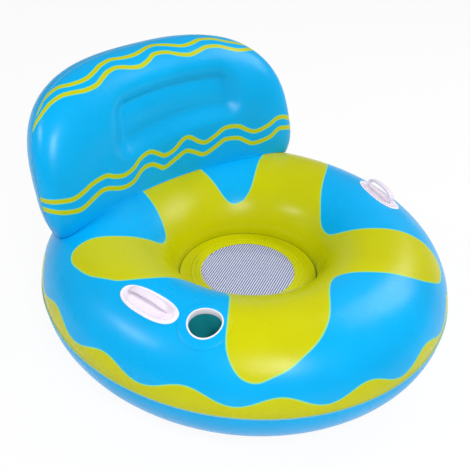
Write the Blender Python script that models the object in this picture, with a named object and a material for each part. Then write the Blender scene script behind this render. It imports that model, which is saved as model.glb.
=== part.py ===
"""Inflatable water hammock: an oval seat ring of PVC film with a mesh floor, a backrest
pillow, two moulded handles, a cup holder and a valve for each air chamber.

Metres, +Z up, +Y towards the backrest. The origin is on the floor, in the middle of the
outline seen from above. Left and right are those of someone who looks along +Y.
"""
import math

import bmesh
import bpy
from mathutils import Matrix, Vector

# Film and clearances
FILM = 0.0005
GAP = 0.0003
SEAM_LIP = 0.006
CUT_OVERRUN = 0.02

# Seat ring, an oval outside and a round hole inside
RING_HALF_WIDTH = 0.475
RING_HALF_LENGTH = 0.511
RING_SETBACK = 0.024
SEAT_HOLE_RADIUS = 0.169
TUBE_HALF_HEIGHT = 0.1375
HOLE_LIP = 0.008
RING_STEPS = 44
TUBE_STEPS = 11

# Seat
FLANGE_WIDTH = 0.0545
MESH_LAP = 0.008
MESH_THICKNESS = 0.0008
MESH_RISE = 0.004
MESH_STRAND = 0.0075
MESH_OPENING = 0.0135
MESH_BORDER = 0.006
BACKING_WIDTH = 0.018

# Backrest pillow, measured from its middle
PILLOW_HALF_WIDTH = 0.379
PILLOW_RISE = 0.270
PILLOW_DROP = 0.225
PILLOW_RAISE = 0.041
PILLOW_OUTSET = 0.068
PILLOW_FRONT_DEPTH = 0.116
PILLOW_BACK_DEPTH = 0.128
BEND_RADIUS_BOTTOM = 0.416
BEND_RADIUS_TOP = 0.914
PILLOW_TILT = math.radians(5.4)
TOP_CORNER_POWER = 3.0
BOTTOM_CORNER_POWER = 2.25
CROWN_POWER = 3.77
WINDOW_SHIFT = 0.019
WINDOW_HALF_LENGTH = 0.155
WINDOW_HALF_HEIGHT = 0.036
WINDOW_RISE = 0.140
WINDOW_SLOPE = 0.045
WINDOW_DEPTH = 0.016
BAFFLE_WALL = 0.0008

# Weld strip under the pillow and the line that the pillow leans about
STRIP_START = 0.009
STRIP_WIDTH = 0.036
STRIP_THICKNESS = 0.0005
STRIP_HALF_TURN = math.radians(32)
STRIP_STEPS = 12
LEAN_RANGE = math.radians(6)
LEAN_SHARES = (0.0, 0.25, 0.5, 0.75, 1.0)
SETTLE_ROUNDS = 5

# Handles
LEFT_HANDLE_TURN = math.radians(194.7)
LEFT_HANDLE_OUTSET = 0.037
RIGHT_HANDLE_TURN = math.radians(-13.2)
RIGHT_HANDLE_OUTSET = 0.052
HANDLE_SKEW = math.radians(-3)
PATCH_HALF_LENGTH = 0.076
PATCH_HALF_WIDTH = 0.030
PATCH_CORNER_POWER = 2.35
PATCH_THICKNESS = 0.0008
PATCH_RIM_WIDTH = 0.005
PATCH_RIM_HEIGHT = 0.0020
PLATE_END_BORDER = 0.0085
PLATE_SIDE_BORDER = 0.0068
PLATE_THICKNESS = 0.0014
GRIP_END_BORDER = 0.018
GRIP_HEIGHT = 0.022
GRIP_THICKNESS = 0.0058
GRIP_WIDTH = 0.0095
GRIP_FOOT_WIDTH = 0.0054
GRIP_FOOT_DEPTH = 0.0025
GRIP_WIDENING = 0.016
GRIP_STEPS = 16
GRIP_SIDES = 8
GRIP_CORNER_POWER = 2.6

# Cup holder
CUP_TURN = math.radians(-144.4)
CUP_RADIUS = 0.0342
CUP_DEPTH = 0.090
CUP_OUTSET = 0.0386
COLLAR_WALL = 0.0008
COLLAR_RIM_WIDTH = 0.0014
COLLAR_RIM_THICKNESS = 0.0012
COLLAR_HEIGHT = 0.015
COLLAR_LAP = 0.010
DOUBLER_WIDTH = 0.0200

# Air valves, the same on the ring and on the pillow
VALVE_FLANGE_RADIUS = 0.017
VALVE_FLANGE_THICKNESS = 0.0010
VALVE_BUSH_RADIUS = 0.0112
VALVE_BUSH_WALL = 0.0016
VALVE_BUSH_DEPTH = 0.006
STEM_RADIUS = 0.0060
STEM_WALL = 0.0014
STEM_RISE = 0.0015
STEM_DEPTH = 0.009
SKIRT_DROP = 0.0014
SKIRT_THICKNESS = 0.0008
PLUG_HEAD_RADIUS = 0.0080
PLUG_HEAD_THICKNESS = 0.0016
PLUG_DEPTH = 0.005
FLAP_THICKNESS = 0.0006
RING_VALVE_STEP = 12
RING_VALVE_LIFT_STEP = 2
PILLOW_VALVE_LINE = -7
PILLOW_VALVE_ROW = 6

ROUND_STEPS = 16
FINE_STEPS = 28
UNDERSIDE_SHARES = (0.0, 0.4, 0.75, 1.0)
TOP_SHARES = (0.6, 0.3, 0.0)
FOOT_SHARES = ((1.0, 0.35), (0.6, 0.8))

BLUE = (0.0, 0.38, 0.86, 1.0)
YELLOW = (0.62, 0.60, 0.0, 1.0)
WHITE = (0.86, 0.84, 0.90, 1.0)
PALE = (0.82, 0.76, 0.86, 1.0)
TEAL = (0.0, 0.13, 0.15, 1.0)
CLEAR = (0.70, 0.80, 0.88, 1.0)
NET = (0.45, 0.47, 0.72, 1.0)

# What follows from the sizes above
seam_height = TUBE_HALF_HEIGHT * math.cos(math.pi / TUBE_STEPS / 2)
upper_seam = seam_height + GAP
back_crown = (RING_HALF_LENGTH + RING_SETBACK + SEAT_HOLE_RADIUS) / 2
pillow_setback = back_crown + PILLOW_OUTSET
pillow_height = 2 * TUBE_HALF_HEIGHT + PILLOW_RAISE
front_reach = RING_HALF_LENGTH - RING_SETBACK
back_reach = pillow_setback + PILLOW_BACK_DEPTH
seat_y = (front_reach - back_reach) / 2
mesh_open_radius = SEAT_HOLE_RADIUS - FLANGE_WIDTH
mesh_top = seam_height + MESH_RISE
strip_top = GAP + STRIP_THICKNESS
pillow_rest = strip_top + GAP
sleeve_inner = CUP_RADIUS + COLLAR_WALL + GAP
sleeve_outer = sleeve_inner + FILM
cup_hole_radius = sleeve_outer + GAP
doubler_radius = cup_hole_radius + DOUBLER_WIDTH


def clear_scene():
    for thing in list(bpy.data.objects):
        bpy.data.objects.remove(thing)


def finish(name, colour, roughness):
    made = bpy.data.materials.new(name)
    made.use_nodes = True
    shader = made.node_tree.nodes["Principled BSDF"]
    shader.inputs["Base Color"].default_value = colour
    shader.inputs["Roughness"].default_value = roughness
    shader.inputs["Metallic"].default_value = 0.0
    return made


def add_object(name, bm, colour, roughness=0.3, place=None, parent=None, smooth=True):
    """Turn a bmesh into an object, put in its place and hung on its parent."""
    if all(edge.is_manifold for edge in bm.edges):
        bmesh.ops.recalc_face_normals(bm, faces=bm.faces)
    mesh = bpy.data.meshes.new(name)
    bm.to_mesh(mesh)
    bm.free()
    if smooth:
        mesh.shade_smooth()
        mesh.set_sharp_from_angle(angle=math.radians(40))
    mesh.materials.append(finish(name + "_finish", colour, roughness))
    thing = bpy.data.objects.new(name, mesh)
    bpy.context.scene.collection.objects.link(thing)
    put(thing, place or Matrix.Identity(4), parent)
    return thing


def put(thing, place, parent=None):
    """Set an object's place in the world, also where it hangs on a parent."""
    thing.parent = parent
    bpy.context.view_layer.update()
    thing.matrix_world = place


def cut(thing, cutter):
    """Cut a hole with another object, which then stays as a hidden guide."""
    cutter.hide_render = True
    cutter.display_type = "WIRE"
    boolean = thing.modifiers.new("cut_" + cutter.name, "BOOLEAN")
    boolean.operation = "DIFFERENCE"
    boolean.solver = "EXACT"
    boolean.object = cutter


def loft(bm, loops, closed_path):
    """Join closed loops of points, one after the other, and cap the ends of an open path."""
    rings = []
    for loop in loops:
        rings.append([bm.verts.new(point) for point in loop])
    pairs = list(zip(rings, rings[1:]))
    if closed_path:
        pairs.append((rings[-1], rings[0]))
    for near, far in pairs:
        count = len(near)
        for i in range(count):
            j = (i + 1) % count
            bm.faces.new((near[i], near[j], far[j], far[i]))
    if not closed_path:
        bm.faces.new(rings[0])
        bm.faces.new(rings[-1])


def turned(bm, profile, place, steps):
    """Turn a profile of (reach, height) rows: a ring if it closes clear of the axis,
    or a solid disc if its first and last rows lie on the axis."""
    solid = profile[0][0] == 0
    columns = []
    for step in range(steps):
        angle = 2 * math.pi * step / steps
        columns.append([place(angle, *row) for row in profile])
    if not solid:
        loft(bm, columns, True)
        return
    first = bm.verts.new(columns[0][0])
    last = bm.verts.new(columns[0][-1])
    rows = [[bm.verts.new(point) for point in column[1:-1]] for column in columns]
    for near, far in zip(rows, rows[1:] + rows[:1]):
        bm.faces.new((first, near[0], far[0]))
        bm.faces.new((near[-1], last, far[-1]))
        for i in range(len(near) - 1):
            bm.faces.new((near[i], near[i + 1], far[i + 1], far[i]))


def slab(bm, lower, upper):
    """A closed sheet between two grids of points of the same size."""
    low = [[bm.verts.new(point) for point in row] for row in lower]
    high = [[bm.verts.new(point) for point in row] for row in upper]
    last_row = len(low) - 1
    last_column = len(low[0]) - 1
    for i in range(last_row):
        for j in range(last_column):
            bm.faces.new((low[i][j], low[i + 1][j], low[i + 1][j + 1], low[i][j + 1]))
            bm.faces.new((high[i][j], high[i][j + 1], high[i + 1][j + 1], high[i + 1][j]))
    for i in range(last_row):
        for j in (0, last_column):
            bm.faces.new((low[i][j], high[i][j], high[i + 1][j], low[i + 1][j]))
    for j in range(last_column):
        for i in (0, last_row):
            bm.faces.new((low[i][j], low[i][j + 1], high[i][j + 1], high[i][j]))


def frame_at(origin, axis, along=Vector((0, 0, 1))):
    """A local frame: Z along axis, X as near to the second direction as it can be."""
    z = axis.normalized()
    x = (along - z * along.dot(z)).normalized()
    y = z.cross(x)
    rotation = Matrix((x, y, z)).transposed().to_4x4()
    return Matrix.Translation(origin) @ rotation


def round_z(angle, reach, height):
    """A point of a turned profile, round the local Z axis."""
    return Vector((reach * math.cos(angle), reach * math.sin(angle), height))


# Shape of the ring


def ring_reach(turn):
    """Distance from the seat's centre to the outer seam, in the direction of a turn."""
    across = math.cos(turn) / RING_HALF_WIDTH
    along = math.sin(turn) / RING_HALF_LENGTH
    offset = RING_SETBACK / RING_HALF_LENGTH
    square = across * across + along * along
    lean = along * offset
    return (lean + math.sqrt(lean * lean + square * (1 - offset * offset))) / square


def tube_at(turn):
    """Middle radius and half width of the tube in the direction of a turn."""
    outer = ring_reach(turn)
    return (outer + SEAT_HOLE_RADIUS) / 2, (outer - SEAT_HOLE_RADIUS) / 2


def at_turn(turn, reach, height):
    return Vector((reach * math.cos(turn), seat_y + reach * math.sin(turn), height))


def ring_point(turn, lift, out=0.0, seam=upper_seam):
    """A point on the tube: lift is 0 at the outer seam and a quarter turn at the crown."""
    middle, half = tube_at(turn)
    reach = middle + (half + out) * math.cos(lift)
    return at_turn(turn, reach, seam + (TUBE_HALF_HEIGHT + out) * math.sin(lift))


def ring_normal(turn, lift):
    half = tube_at(turn)[1]
    flat = math.cos(lift) / half
    steep = math.sin(lift) / TUBE_HALF_HEIGHT
    return Vector((flat * math.cos(turn), flat * math.sin(turn), steep)).normalized()


def ring_top(x, y, out=0.0):
    """Height of the ring's upper side above a place on the floor, None off the ring."""
    reach = math.hypot(x, y - seat_y)
    middle, half = tube_at(math.atan2(y - seat_y, x))
    share = (reach - middle) / (half + out)
    if abs(share) >= 1:
        return None
    return upper_seam + (TUBE_HALF_HEIGHT + out) * math.sqrt(1 - share * share)


def ring_turn(step):
    return 2 * math.pi * step / RING_STEPS - math.pi / 2


def panel_section(turn, side, seam):
    """Section of one panel's film: the tube's wall, a lip turned into the seat hole and a
    lip turned in at the outer seam. side is 1 for the upper panel, -1 for the lower."""
    outer = ring_reach(turn)
    lifts = [side * math.pi * step / TUBE_STEPS for step in range(TUBE_STEPS + 1)]
    wall = side * FILM
    section = [ring_point(turn, lift, 0.0, seam) for lift in lifts[:-1]]
    section.append(at_turn(turn, SEAT_HOLE_RADIUS, seam + wall))
    section.append(at_turn(turn, SEAT_HOLE_RADIUS - HOLE_LIP, seam + wall))
    section.append(at_turn(turn, SEAT_HOLE_RADIUS - HOLE_LIP, seam))
    section.extend(ring_point(turn, lift, -FILM, seam) for lift in reversed(lifts[1:]))
    section.append(at_turn(turn, outer - FILM, seam + wall))
    section.append(at_turn(turn, outer - SEAM_LIP, seam + wall))
    section.append(at_turn(turn, outer - SEAM_LIP, seam))
    return section


def make_ring_panel(name, side, seam):
    bm = bmesh.new()
    sections = [panel_section(ring_turn(step), side, seam) for step in range(RING_STEPS)]
    loft(bm, sections, True)
    return add_object(name, bm, BLUE, 0.25)


# Seat


def make_seat():
    """Flange over the inner lips, the net below the flange and a backing ring below both."""
    centre = Matrix.Translation((0.0, seat_y, 0.0))
    net_radius = mesh_open_radius + MESH_LAP
    lap_inner = SEAT_HOLE_RADIUS - HOLE_LIP
    lap_height = upper_seam + FILM + GAP
    flange = [
        (mesh_open_radius, mesh_top + GAP),
        (net_radius, mesh_top + GAP),
        (lap_inner, lap_height),
        (SEAT_HOLE_RADIUS - GAP, lap_height),
        (SEAT_HOLE_RADIUS - GAP, lap_height + FILM),
        (lap_inner, lap_height + FILM),
        (net_radius, mesh_top + GAP + FILM),
        (mesh_open_radius, mesh_top + GAP + FILM),
    ]
    bm = bmesh.new()
    turned(bm, flange, seat_round, RING_STEPS)
    add_object("seat_flange", bm, YELLOW, 0.28, centre)

    backing_top = mesh_top - MESH_THICKNESS - GAP
    backing_outer = mesh_open_radius + BACKING_WIDTH
    backing = [
        (mesh_open_radius, backing_top - FILM),
        (backing_outer, backing_top - FILM),
        (backing_outer, backing_top),
        (mesh_open_radius, backing_top),
    ]
    bm = bmesh.new()
    turned(bm, backing, seat_round, RING_STEPS)
    add_object("seat_backing_ring", bm, BLUE, 0.3, centre)

    net = [
        (0.0, mesh_top - MESH_THICKNESS),
        (net_radius, mesh_top - MESH_THICKNESS),
        (net_radius, mesh_top),
        (0.0, mesh_top),
    ]
    bm = bmesh.new()
    turned(bm, net, seat_round, RING_STEPS)
    seat_mesh = add_object("seat_mesh", bm, NET, 0.7, centre, smooth=False)
    cut(seat_mesh, make_net_cutter(centre))


def seat_round(angle, reach, height):
    """As round_z, with the first corner at the front like the ring's."""
    return round_z(angle - math.pi / 2, reach, height)


def make_net_cutter(centre):
    """One box for each gap of the net, on a grid turned by an eighth of a turn."""
    pitch = MESH_STRAND + MESH_OPENING
    limit = mesh_open_radius - MESH_BORDER
    half_diagonal = MESH_OPENING * math.sqrt(2) / 2
    turn = Matrix.Rotation(math.pi / 4, 4, "Z")
    size = Matrix.Diagonal((MESH_OPENING, MESH_OPENING, CUT_OVERRUN, 1.0))
    count = math.ceil(limit / pitch)
    bm = bmesh.new()
    for i in range(-count, count + 1):
        for j in range(-count, count + 1):
            spot = turn @ Vector((i * pitch, j * pitch, 0.0))
            if spot.length + half_diagonal > limit:
                continue
            spot.z = mesh_top
            bmesh.ops.create_cube(bm, size=1.0, matrix=Matrix.Translation(spot) @ turn @ size)
    return add_object("net_gaps", bm, NET, 0.7, centre, smooth=False)


# Backrest pillow


def pillow_frame():
    up = Vector((0.0, math.sin(PILLOW_TILT), math.cos(PILLOW_TILT)))
    forward = Vector((0.0, -math.cos(PILLOW_TILT), math.sin(PILLOW_TILT)))
    return Vector((0.0, seat_y + pillow_setback, pillow_height)), up, forward


def pillow_spread(u, v):
    """From a square of shares to the pillow's rounded outline: width, rise and edge share."""
    edge = max(abs(u), abs(v))
    if edge == 0:
        return 0.0, 0.0, 0.0
    power = TOP_CORNER_POWER if v > 0 else BOTTOM_CORNER_POWER
    shrink = (abs(u / edge) ** power + abs(v / edge) ** power) ** (-1 / power)
    reach = PILLOW_RISE if v > 0 else PILLOW_DROP
    return u * shrink * PILLOW_HALF_WIDTH, v * shrink * reach, edge


def bend_forward(width, rise):
    """How far the pillow curves forward round the sitter away from its middle."""
    share = (rise + PILLOW_DROP) / (PILLOW_RISE + PILLOW_DROP)
    curve = (1 - share) / BEND_RADIUS_BOTTOM + share / BEND_RADIUS_TOP
    return width * width * curve / 2


def ease(share):
    share = min(max(share, 0.0), 1.0)
    return share * share * (3 - 2 * share)


def window_sink(width, rise):
    """Depth of the sunk oblong window: full inside, easing out over its slope."""
    beside = max(abs(width - WINDOW_SHIFT) - WINDOW_HALF_LENGTH, 0.0)
    above = max(abs(rise - WINDOW_RISE) - WINDOW_HALF_HEIGHT, 0.0)
    return WINDOW_DEPTH * ease(1 - math.hypot(beside, above) / WINDOW_SLOPE)


def pillow_depth(width, rise, edge, side):
    """Height of the film above the middle surface, for the front (1) or the back (-1)."""
    crown = PILLOW_FRONT_DEPTH if side > 0 else PILLOW_BACK_DEPTH
    swell = crown * math.sqrt(max(1 - edge ** CROWN_POWER, 0.0))
    return max(swell - window_sink(width, rise) * (swell > WINDOW_DEPTH), GAP / 2)


def pillow_place(width, rise, depth):
    centre, up, forward = pillow_frame()
    out = bend_forward(width, rise) + depth
    return centre + Vector((width, 0.0, 0.0)) + up * rise + forward * out


def lean_line():
    """Middle of the weld strip, behind the crown of the ring."""
    reach = tube_at(math.pi / 2)[0] + STRIP_START + STRIP_WIDTH / 2
    return Vector((0.0, seat_y + reach, ring_top(0.0, seat_y + reach)))


def leaned(point, angle):
    return Matrix.Rotation(-angle, 3, "X") @ (point - lean_line()) + lean_line()


def sink_into_ring(point):
    """How far a point of the pillow would sink into the ring, at rest or leaning back."""
    need = 0.0
    for share in LEAN_SHARES:
        moved = leaned(point, share * LEAN_RANGE)
        top = ring_top(moved.x, moved.y, pillow_rest)
        if top is not None:
            need = max(need, top - moved.z)
    return need


def pillow_point(u, v, side):
    width, rise, edge = pillow_spread(u, v)
    depth = side * pillow_depth(width, rise, edge, side)
    return pillow_place(width, rise, depth)


def press_up(grid):
    """Lift the points of one panel wherever a point or a facet would sink into the ring."""
    for column in grid:
        for point in column:
            point.z += sink_into_ring(point)
    for i in range(len(grid) - 1):
        for j in range(len(grid[0]) - 1):
            corners = (grid[i][j], grid[i + 1][j], grid[i + 1][j + 1], grid[i][j + 1])
            for a, b in ((0, 1), (1, 2), (2, 3), (3, 0), (0, 2), (1, 3)):
                need = sink_into_ring((corners[a] + corners[b]) / 2)
                corners[a].z += need
                corners[b].z += need


def pillow_grids():
    """Points of the front and the back panel, resting on the ring and level at the seam."""
    across, up = pillow_lines()
    front = [[pillow_point(u, v, 1) for v in up] for u in across]
    back = [[pillow_point(u, v, -1) for v in up] for u in across]
    front_free = [[point.z for point in column] for column in front]
    back_free = [[point.z for point in column] for column in back]
    for _ in range(SETTLE_ROUNDS):
        press_up(front)
        press_up(back)
        for i, j in pillow_rim(across, up):
            front_lift = front[i][j].z - front_free[i][j]
            back_lift = back[i][j].z - back_free[i][j]
            front[i][j].z = front_free[i][j] + max(front_lift, back_lift)
            back[i][j].z = back_free[i][j] + max(front_lift, back_lift)
    return front, back


def pillow_lines():
    """Grid lines as shares: they run along the window and close up towards the seam."""
    middle = WINDOW_SHIFT / PILLOW_HALF_WIDTH
    window = WINDOW_HALF_LENGTH / PILLOW_HALF_WIDTH
    slope = (WINDOW_HALF_LENGTH + WINDOW_SLOPE) / PILLOW_HALF_WIDTH
    outer_shares = (0.34, 0.64, 0.86, 0.97, 1.0)
    across = [middle]
    for side in (-1, 1):
        lines = [middle + side * reach for reach in (window / 2, window, (window + slope) / 2, slope)]
        last = lines[-1]
        lines += [last + (side - last) * share for share in outer_shares]
        across = list(reversed(lines)) + across if side < 0 else across + lines

    low = (WINDOW_RISE - WINDOW_HALF_HEIGHT) / PILLOW_RISE
    high = (WINDOW_RISE + WINDOW_HALF_HEIGHT) / PILLOW_RISE
    slope = WINDOW_SLOPE / PILLOW_RISE
    below_shares = (-1.0, -0.98, -0.92, -0.80, -0.50, -0.18)
    top = high + slope
    upper_shares = (0.45, 0.80, 1.0)
    up = list(below_shares) + [(low - slope) / 2, low - slope, low, (low + high) / 2, high, top]
    up += [top + (1 - top) * share for share in upper_shares]
    return across, up


def pillow_rim(across, up):
    """The grid's edge in order, as index pairs."""
    last_u = len(across) - 1
    last_v = len(up) - 1
    rim = [(i, 0) for i in range(last_u)]
    rim += [(last_u, j) for j in range(last_v)]
    rim += [(i, last_v) for i in range(last_u, 0, -1)]
    rim += [(0, j) for j in range(last_v, 0, -1)]
    return rim


def make_pillow_panel(name, side, points, pivot):
    """One panel of film with a lip turned in at the seam, given its wall by a modifier."""
    across, up = pillow_lines()
    bm = bmesh.new()
    grid = [[bm.verts.new(point) for point in column] for column in points]
    for i in range(len(across) - 1):
        for j in range(len(up) - 1):
            corners = [grid[i][j], grid[i + 1][j], grid[i + 1][j + 1], grid[i][j + 1]]
            if side < 0:
                corners.reverse()
            bm.faces.new(corners)
    rim = pillow_rim(across, up)
    lip = []
    for i, j in rim:
        width, rise, edge = pillow_spread(across[i], up[j])
        inward = Vector((width, rise)).normalized() * SEAM_LIP
        seam_point = grid[i][j].co
        moved = pillow_place(width - inward.x, rise - inward.y, side * GAP / 2)
        still = pillow_place(width, rise, side * GAP / 2)
        inner = seam_point + moved - still
        inner.z += sink_into_ring(inner - Vector((0.0, 0.0, SEAM_LIP / 2)))
        lip.append(bm.verts.new(inner))
    for a in range(len(rim)):
        b = (a + 1) % len(rim)
        edge_a = grid[rim[a][0]][rim[a][1]]
        edge_b = grid[rim[b][0]][rim[b][1]]
        for corners in ([edge_b, edge_a, lip[a]], [edge_b, lip[a], lip[b]]):
            if side < 0:
                corners.reverse()
            bm.faces.new(corners)
    bmesh.ops.translate(bm, verts=bm.verts, vec=-pivot.location)
    panel = add_object(name, bm, BLUE, 0.25, Matrix.Translation(pivot.location), pivot)
    wall = panel.modifiers.new("film", "SOLIDIFY")
    wall.thickness = FILM
    wall.offset = -1
    return panel


def make_baffle(pivot):
    """Inner wall that ties the two panels together round the window."""
    middle = WINDOW_SHIFT / PILLOW_HALF_WIDTH
    window = WINDOW_HALF_LENGTH / PILLOW_HALF_WIDTH
    low = (WINDOW_RISE - WINDOW_HALF_HEIGHT) / PILLOW_RISE
    high = (WINDOW_RISE + WINDOW_HALF_HEIGHT) / PILLOW_RISE
    columns = [middle + reach for reach in (-window, -window / 2, 0.0, window / 2, window)]
    rows = [low, (low + high) / 2, high]
    path = [(u, rows[0]) for u in columns[:-1]]
    path += [(columns[-1], v) for v in rows[:-1]]
    path += [(u, rows[-1]) for u in reversed(columns[1:])]
    path += [(columns[0], v) for v in reversed(rows[1:])]
    inset = FILM + 2 * GAP
    centre_rise = (pillow_spread(0.0, low)[1] + pillow_spread(0.0, high)[1]) / 2
    loops = []
    for u, v in path:
        width, rise, edge = pillow_spread(u, v)
        outward = Vector((
            (width - WINDOW_SHIFT) / WINDOW_HALF_LENGTH, (rise - centre_rise) / WINDOW_HALF_HEIGHT))
        step = outward.normalized() * BAFFLE_WALL / 2
        front = pillow_depth(width, rise, edge, 1) - inset
        back = pillow_depth(width, rise, edge, -1) - inset
        loops.append([
            pillow_place(width - step.x, rise - step.y, front),
            pillow_place(width + step.x, rise + step.y, front),
            pillow_place(width + step.x, rise + step.y, -back),
            pillow_place(width - step.x, rise - step.y, -back),
        ])
    bm = bmesh.new()
    loft(bm, loops, True)
    bmesh.ops.translate(bm, verts=bm.verts, vec=-pivot.location)
    place = Matrix.Translation(pivot.location)
    add_object("backrest_baffle", bm, BLUE, 0.4, place, pivot, smooth=False)


def make_weld_strip():
    """Strip of film on the ring's crown that the pillow is welded to."""
    sweep = 2 * STRIP_HALF_TURN / STRIP_STEPS
    first = math.pi / 2 - STRIP_HALF_TURN
    turns = [first + sweep * step for step in range(STRIP_STEPS + 1)]
    steps = STRIP_STEPS // 3

    def layer(out):
        rows = []
        for turn in turns:
            row = []
            for step in range(steps + 1):
                reach = tube_at(turn)[0] + STRIP_START + STRIP_WIDTH * step / steps
                spot = at_turn(turn, reach, 0.0)
                spot.z = ring_top(spot.x, spot.y, out)
                row.append(spot)
            rows.append(row)
        return rows

    bm = bmesh.new()
    slab(bm, layer(GAP), layer(strip_top))
    add_object("backrest_weld_strip", bm, BLUE, 0.35)


def make_backrest():
    pivot = bpy.data.objects.new("backrest_pivot", None)
    bpy.context.scene.collection.objects.link(pivot)
    pivot.location = lean_line()
    front_points, back_points = pillow_grids()
    make_pillow_panel("backrest_front_panel", 1, front_points, pivot)
    back = make_pillow_panel("backrest_back_panel", -1, back_points, pivot)
    make_baffle(pivot)
    make_weld_strip()
    across, up = pillow_lines()
    u = across[PILLOW_VALVE_LINE]
    v = up[PILLOW_VALVE_ROW]
    small = GAP / PILLOW_HALF_WIDTH
    along = pillow_point(u + small, v, -1) - pillow_point(u - small, v, -1)
    rising = pillow_point(u, v + small, -1) - pillow_point(u, v - small, -1)
    make_valve("backrest", back, pillow_point(u, v, -1), rising.cross(along), pivot)


# Handles


def round_share(value):
    """A cosine or sine for an oval whose ends are a little blunter than an ellipse's."""
    return math.copysign(abs(value) ** (2 / PATCH_CORNER_POWER), value)


def make_handle(name, turn, outset, mirror):
    """Oval patch, moulded plate and a bow that folds about the line through its feet."""
    middle, half = tube_at(turn)
    lie = turn + HANDLE_SKEW
    out = Vector((math.cos(lie), math.sin(lie), 0.0))
    along = Vector((-math.sin(lie), math.cos(lie), 0.0)) * mirror
    centre = at_turn(turn, middle + outset, 0.0)

    def oval(half_length, half_width):
        def place(angle, share, height, inset=0.0):
            length = (half_length - inset) * share
            width = (half_width - inset) * share
            spot = centre + along * (length * round_share(math.cos(angle)))
            spot = spot + out * (width * round_share(math.sin(angle)))
            spot.z = ring_top(spot.x, spot.y, height)
            return spot
        return place

    top = GAP + PATCH_THICKNESS
    brow = GAP + PATCH_RIM_HEIGHT
    patch = [(share, GAP) for share in UNDERSIDE_SHARES]
    patch += [(1.0, top), (1.0, brow, PATCH_RIM_WIDTH / 2), (1.0, top, PATCH_RIM_WIDTH)]
    patch += [(share, top, PATCH_RIM_WIDTH) for share in TOP_SHARES]
    bm = bmesh.new()
    turned(bm, patch, oval(PATCH_HALF_LENGTH, PATCH_HALF_WIDTH), FINE_STEPS)
    add_object(name + "_handle_patch", bm, WHITE, 0.3)

    half_length = PATCH_HALF_LENGTH - PLATE_END_BORDER
    half_width = PATCH_HALF_WIDTH - PLATE_SIDE_BORDER
    low = top + GAP
    high = low + PLATE_THICKNESS
    plate = [(share, low) for share in UNDERSIDE_SHARES]
    plate += [(1.0, (low + high) / 2), (1.0, high, PLATE_THICKNESS)]
    plate += [(share, high, PLATE_THICKNESS) for share in TOP_SHARES]
    bm = bmesh.new()
    turned(bm, plate, oval(half_length, half_width), FINE_STEPS)
    add_object(name + "_handle_plate", bm, PALE, 0.35)

    half_span = half_length - GRIP_END_BORDER
    foot = centre + along * half_span
    other = centre - along * half_span
    foot.z = ring_top(foot.x, foot.y, high)
    other.z = ring_top(other.x, other.y, high)
    normal = ring_normal(turn, math.acos(outset / half))
    root = (foot + other) / 2 + normal * (GRIP_FOOT_DEPTH + 2 * GAP)
    make_grip(name + "_handle_grip", half_span, frame_at(root, normal, along))


def grip_section(along, height, slope, half_width, half_band):
    """Section of the bow across its path, which lies in the local X-Z plane."""
    loop = []
    for side in range(GRIP_SIDES):
        angle = 2 * math.pi * (side + 0.5) / GRIP_SIDES
        width = half_width * math.cos(angle)
        band = half_band * math.sin(angle)
        loop.append(Vector((along + slope.y * band, width, height - slope.x * band)))
    return loop


def make_grip(name, half_span, frame):
    """The bow: a flat band whose feet narrow to the line that it folds about."""
    flat = 1 / math.cos(math.pi / GRIP_SIDES)
    half_band = flat * GRIP_THICKNESS / 2
    foot = flat * GRIP_FOOT_WIDTH / 2
    wide = flat * GRIP_WIDTH / 2
    path = []
    for step in range(GRIP_STEPS + 1):
        c = math.cos(math.pi * step / GRIP_STEPS)
        s = math.sin(math.pi * step / GRIP_STEPS)
        along = half_span * math.copysign(abs(c) ** (2 / GRIP_CORNER_POWER), c)
        rise = max(s, 0.0) ** (2 / GRIP_CORNER_POWER)
        path.append(Vector((along, (GRIP_HEIGHT - GRIP_FOOT_DEPTH) * rise)))

    up = Vector((0.0, 1.0))
    last = len(path) - 1
    loops = []
    for depth_share, width_share in FOOT_SHARES:
        low = -GRIP_FOOT_DEPTH * depth_share
        loops.append(grip_section(half_span, low, up, foot * width_share, half_band * width_share))
    for index, station in enumerate(path):
        slope = (path[min(index + 1, last)] - path[max(index - 1, 0)]).normalized()
        if index in (0, last):
            slope = up if index == 0 else -up
        width = foot + (wide - foot) * ease(station.y / GRIP_WIDENING)
        loops.append(grip_section(station.x, station.y, slope, width, half_band))
    for depth_share, width_share in reversed(FOOT_SHARES):
        low = -GRIP_FOOT_DEPTH * depth_share
        loops.append(grip_section(-half_span, low, -up, foot * width_share, half_band * width_share))
    bm = bmesh.new()
    loft(bm, loops, False)
    add_object(name, bm, PALE, 0.35, frame)


# Cup holder


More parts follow.
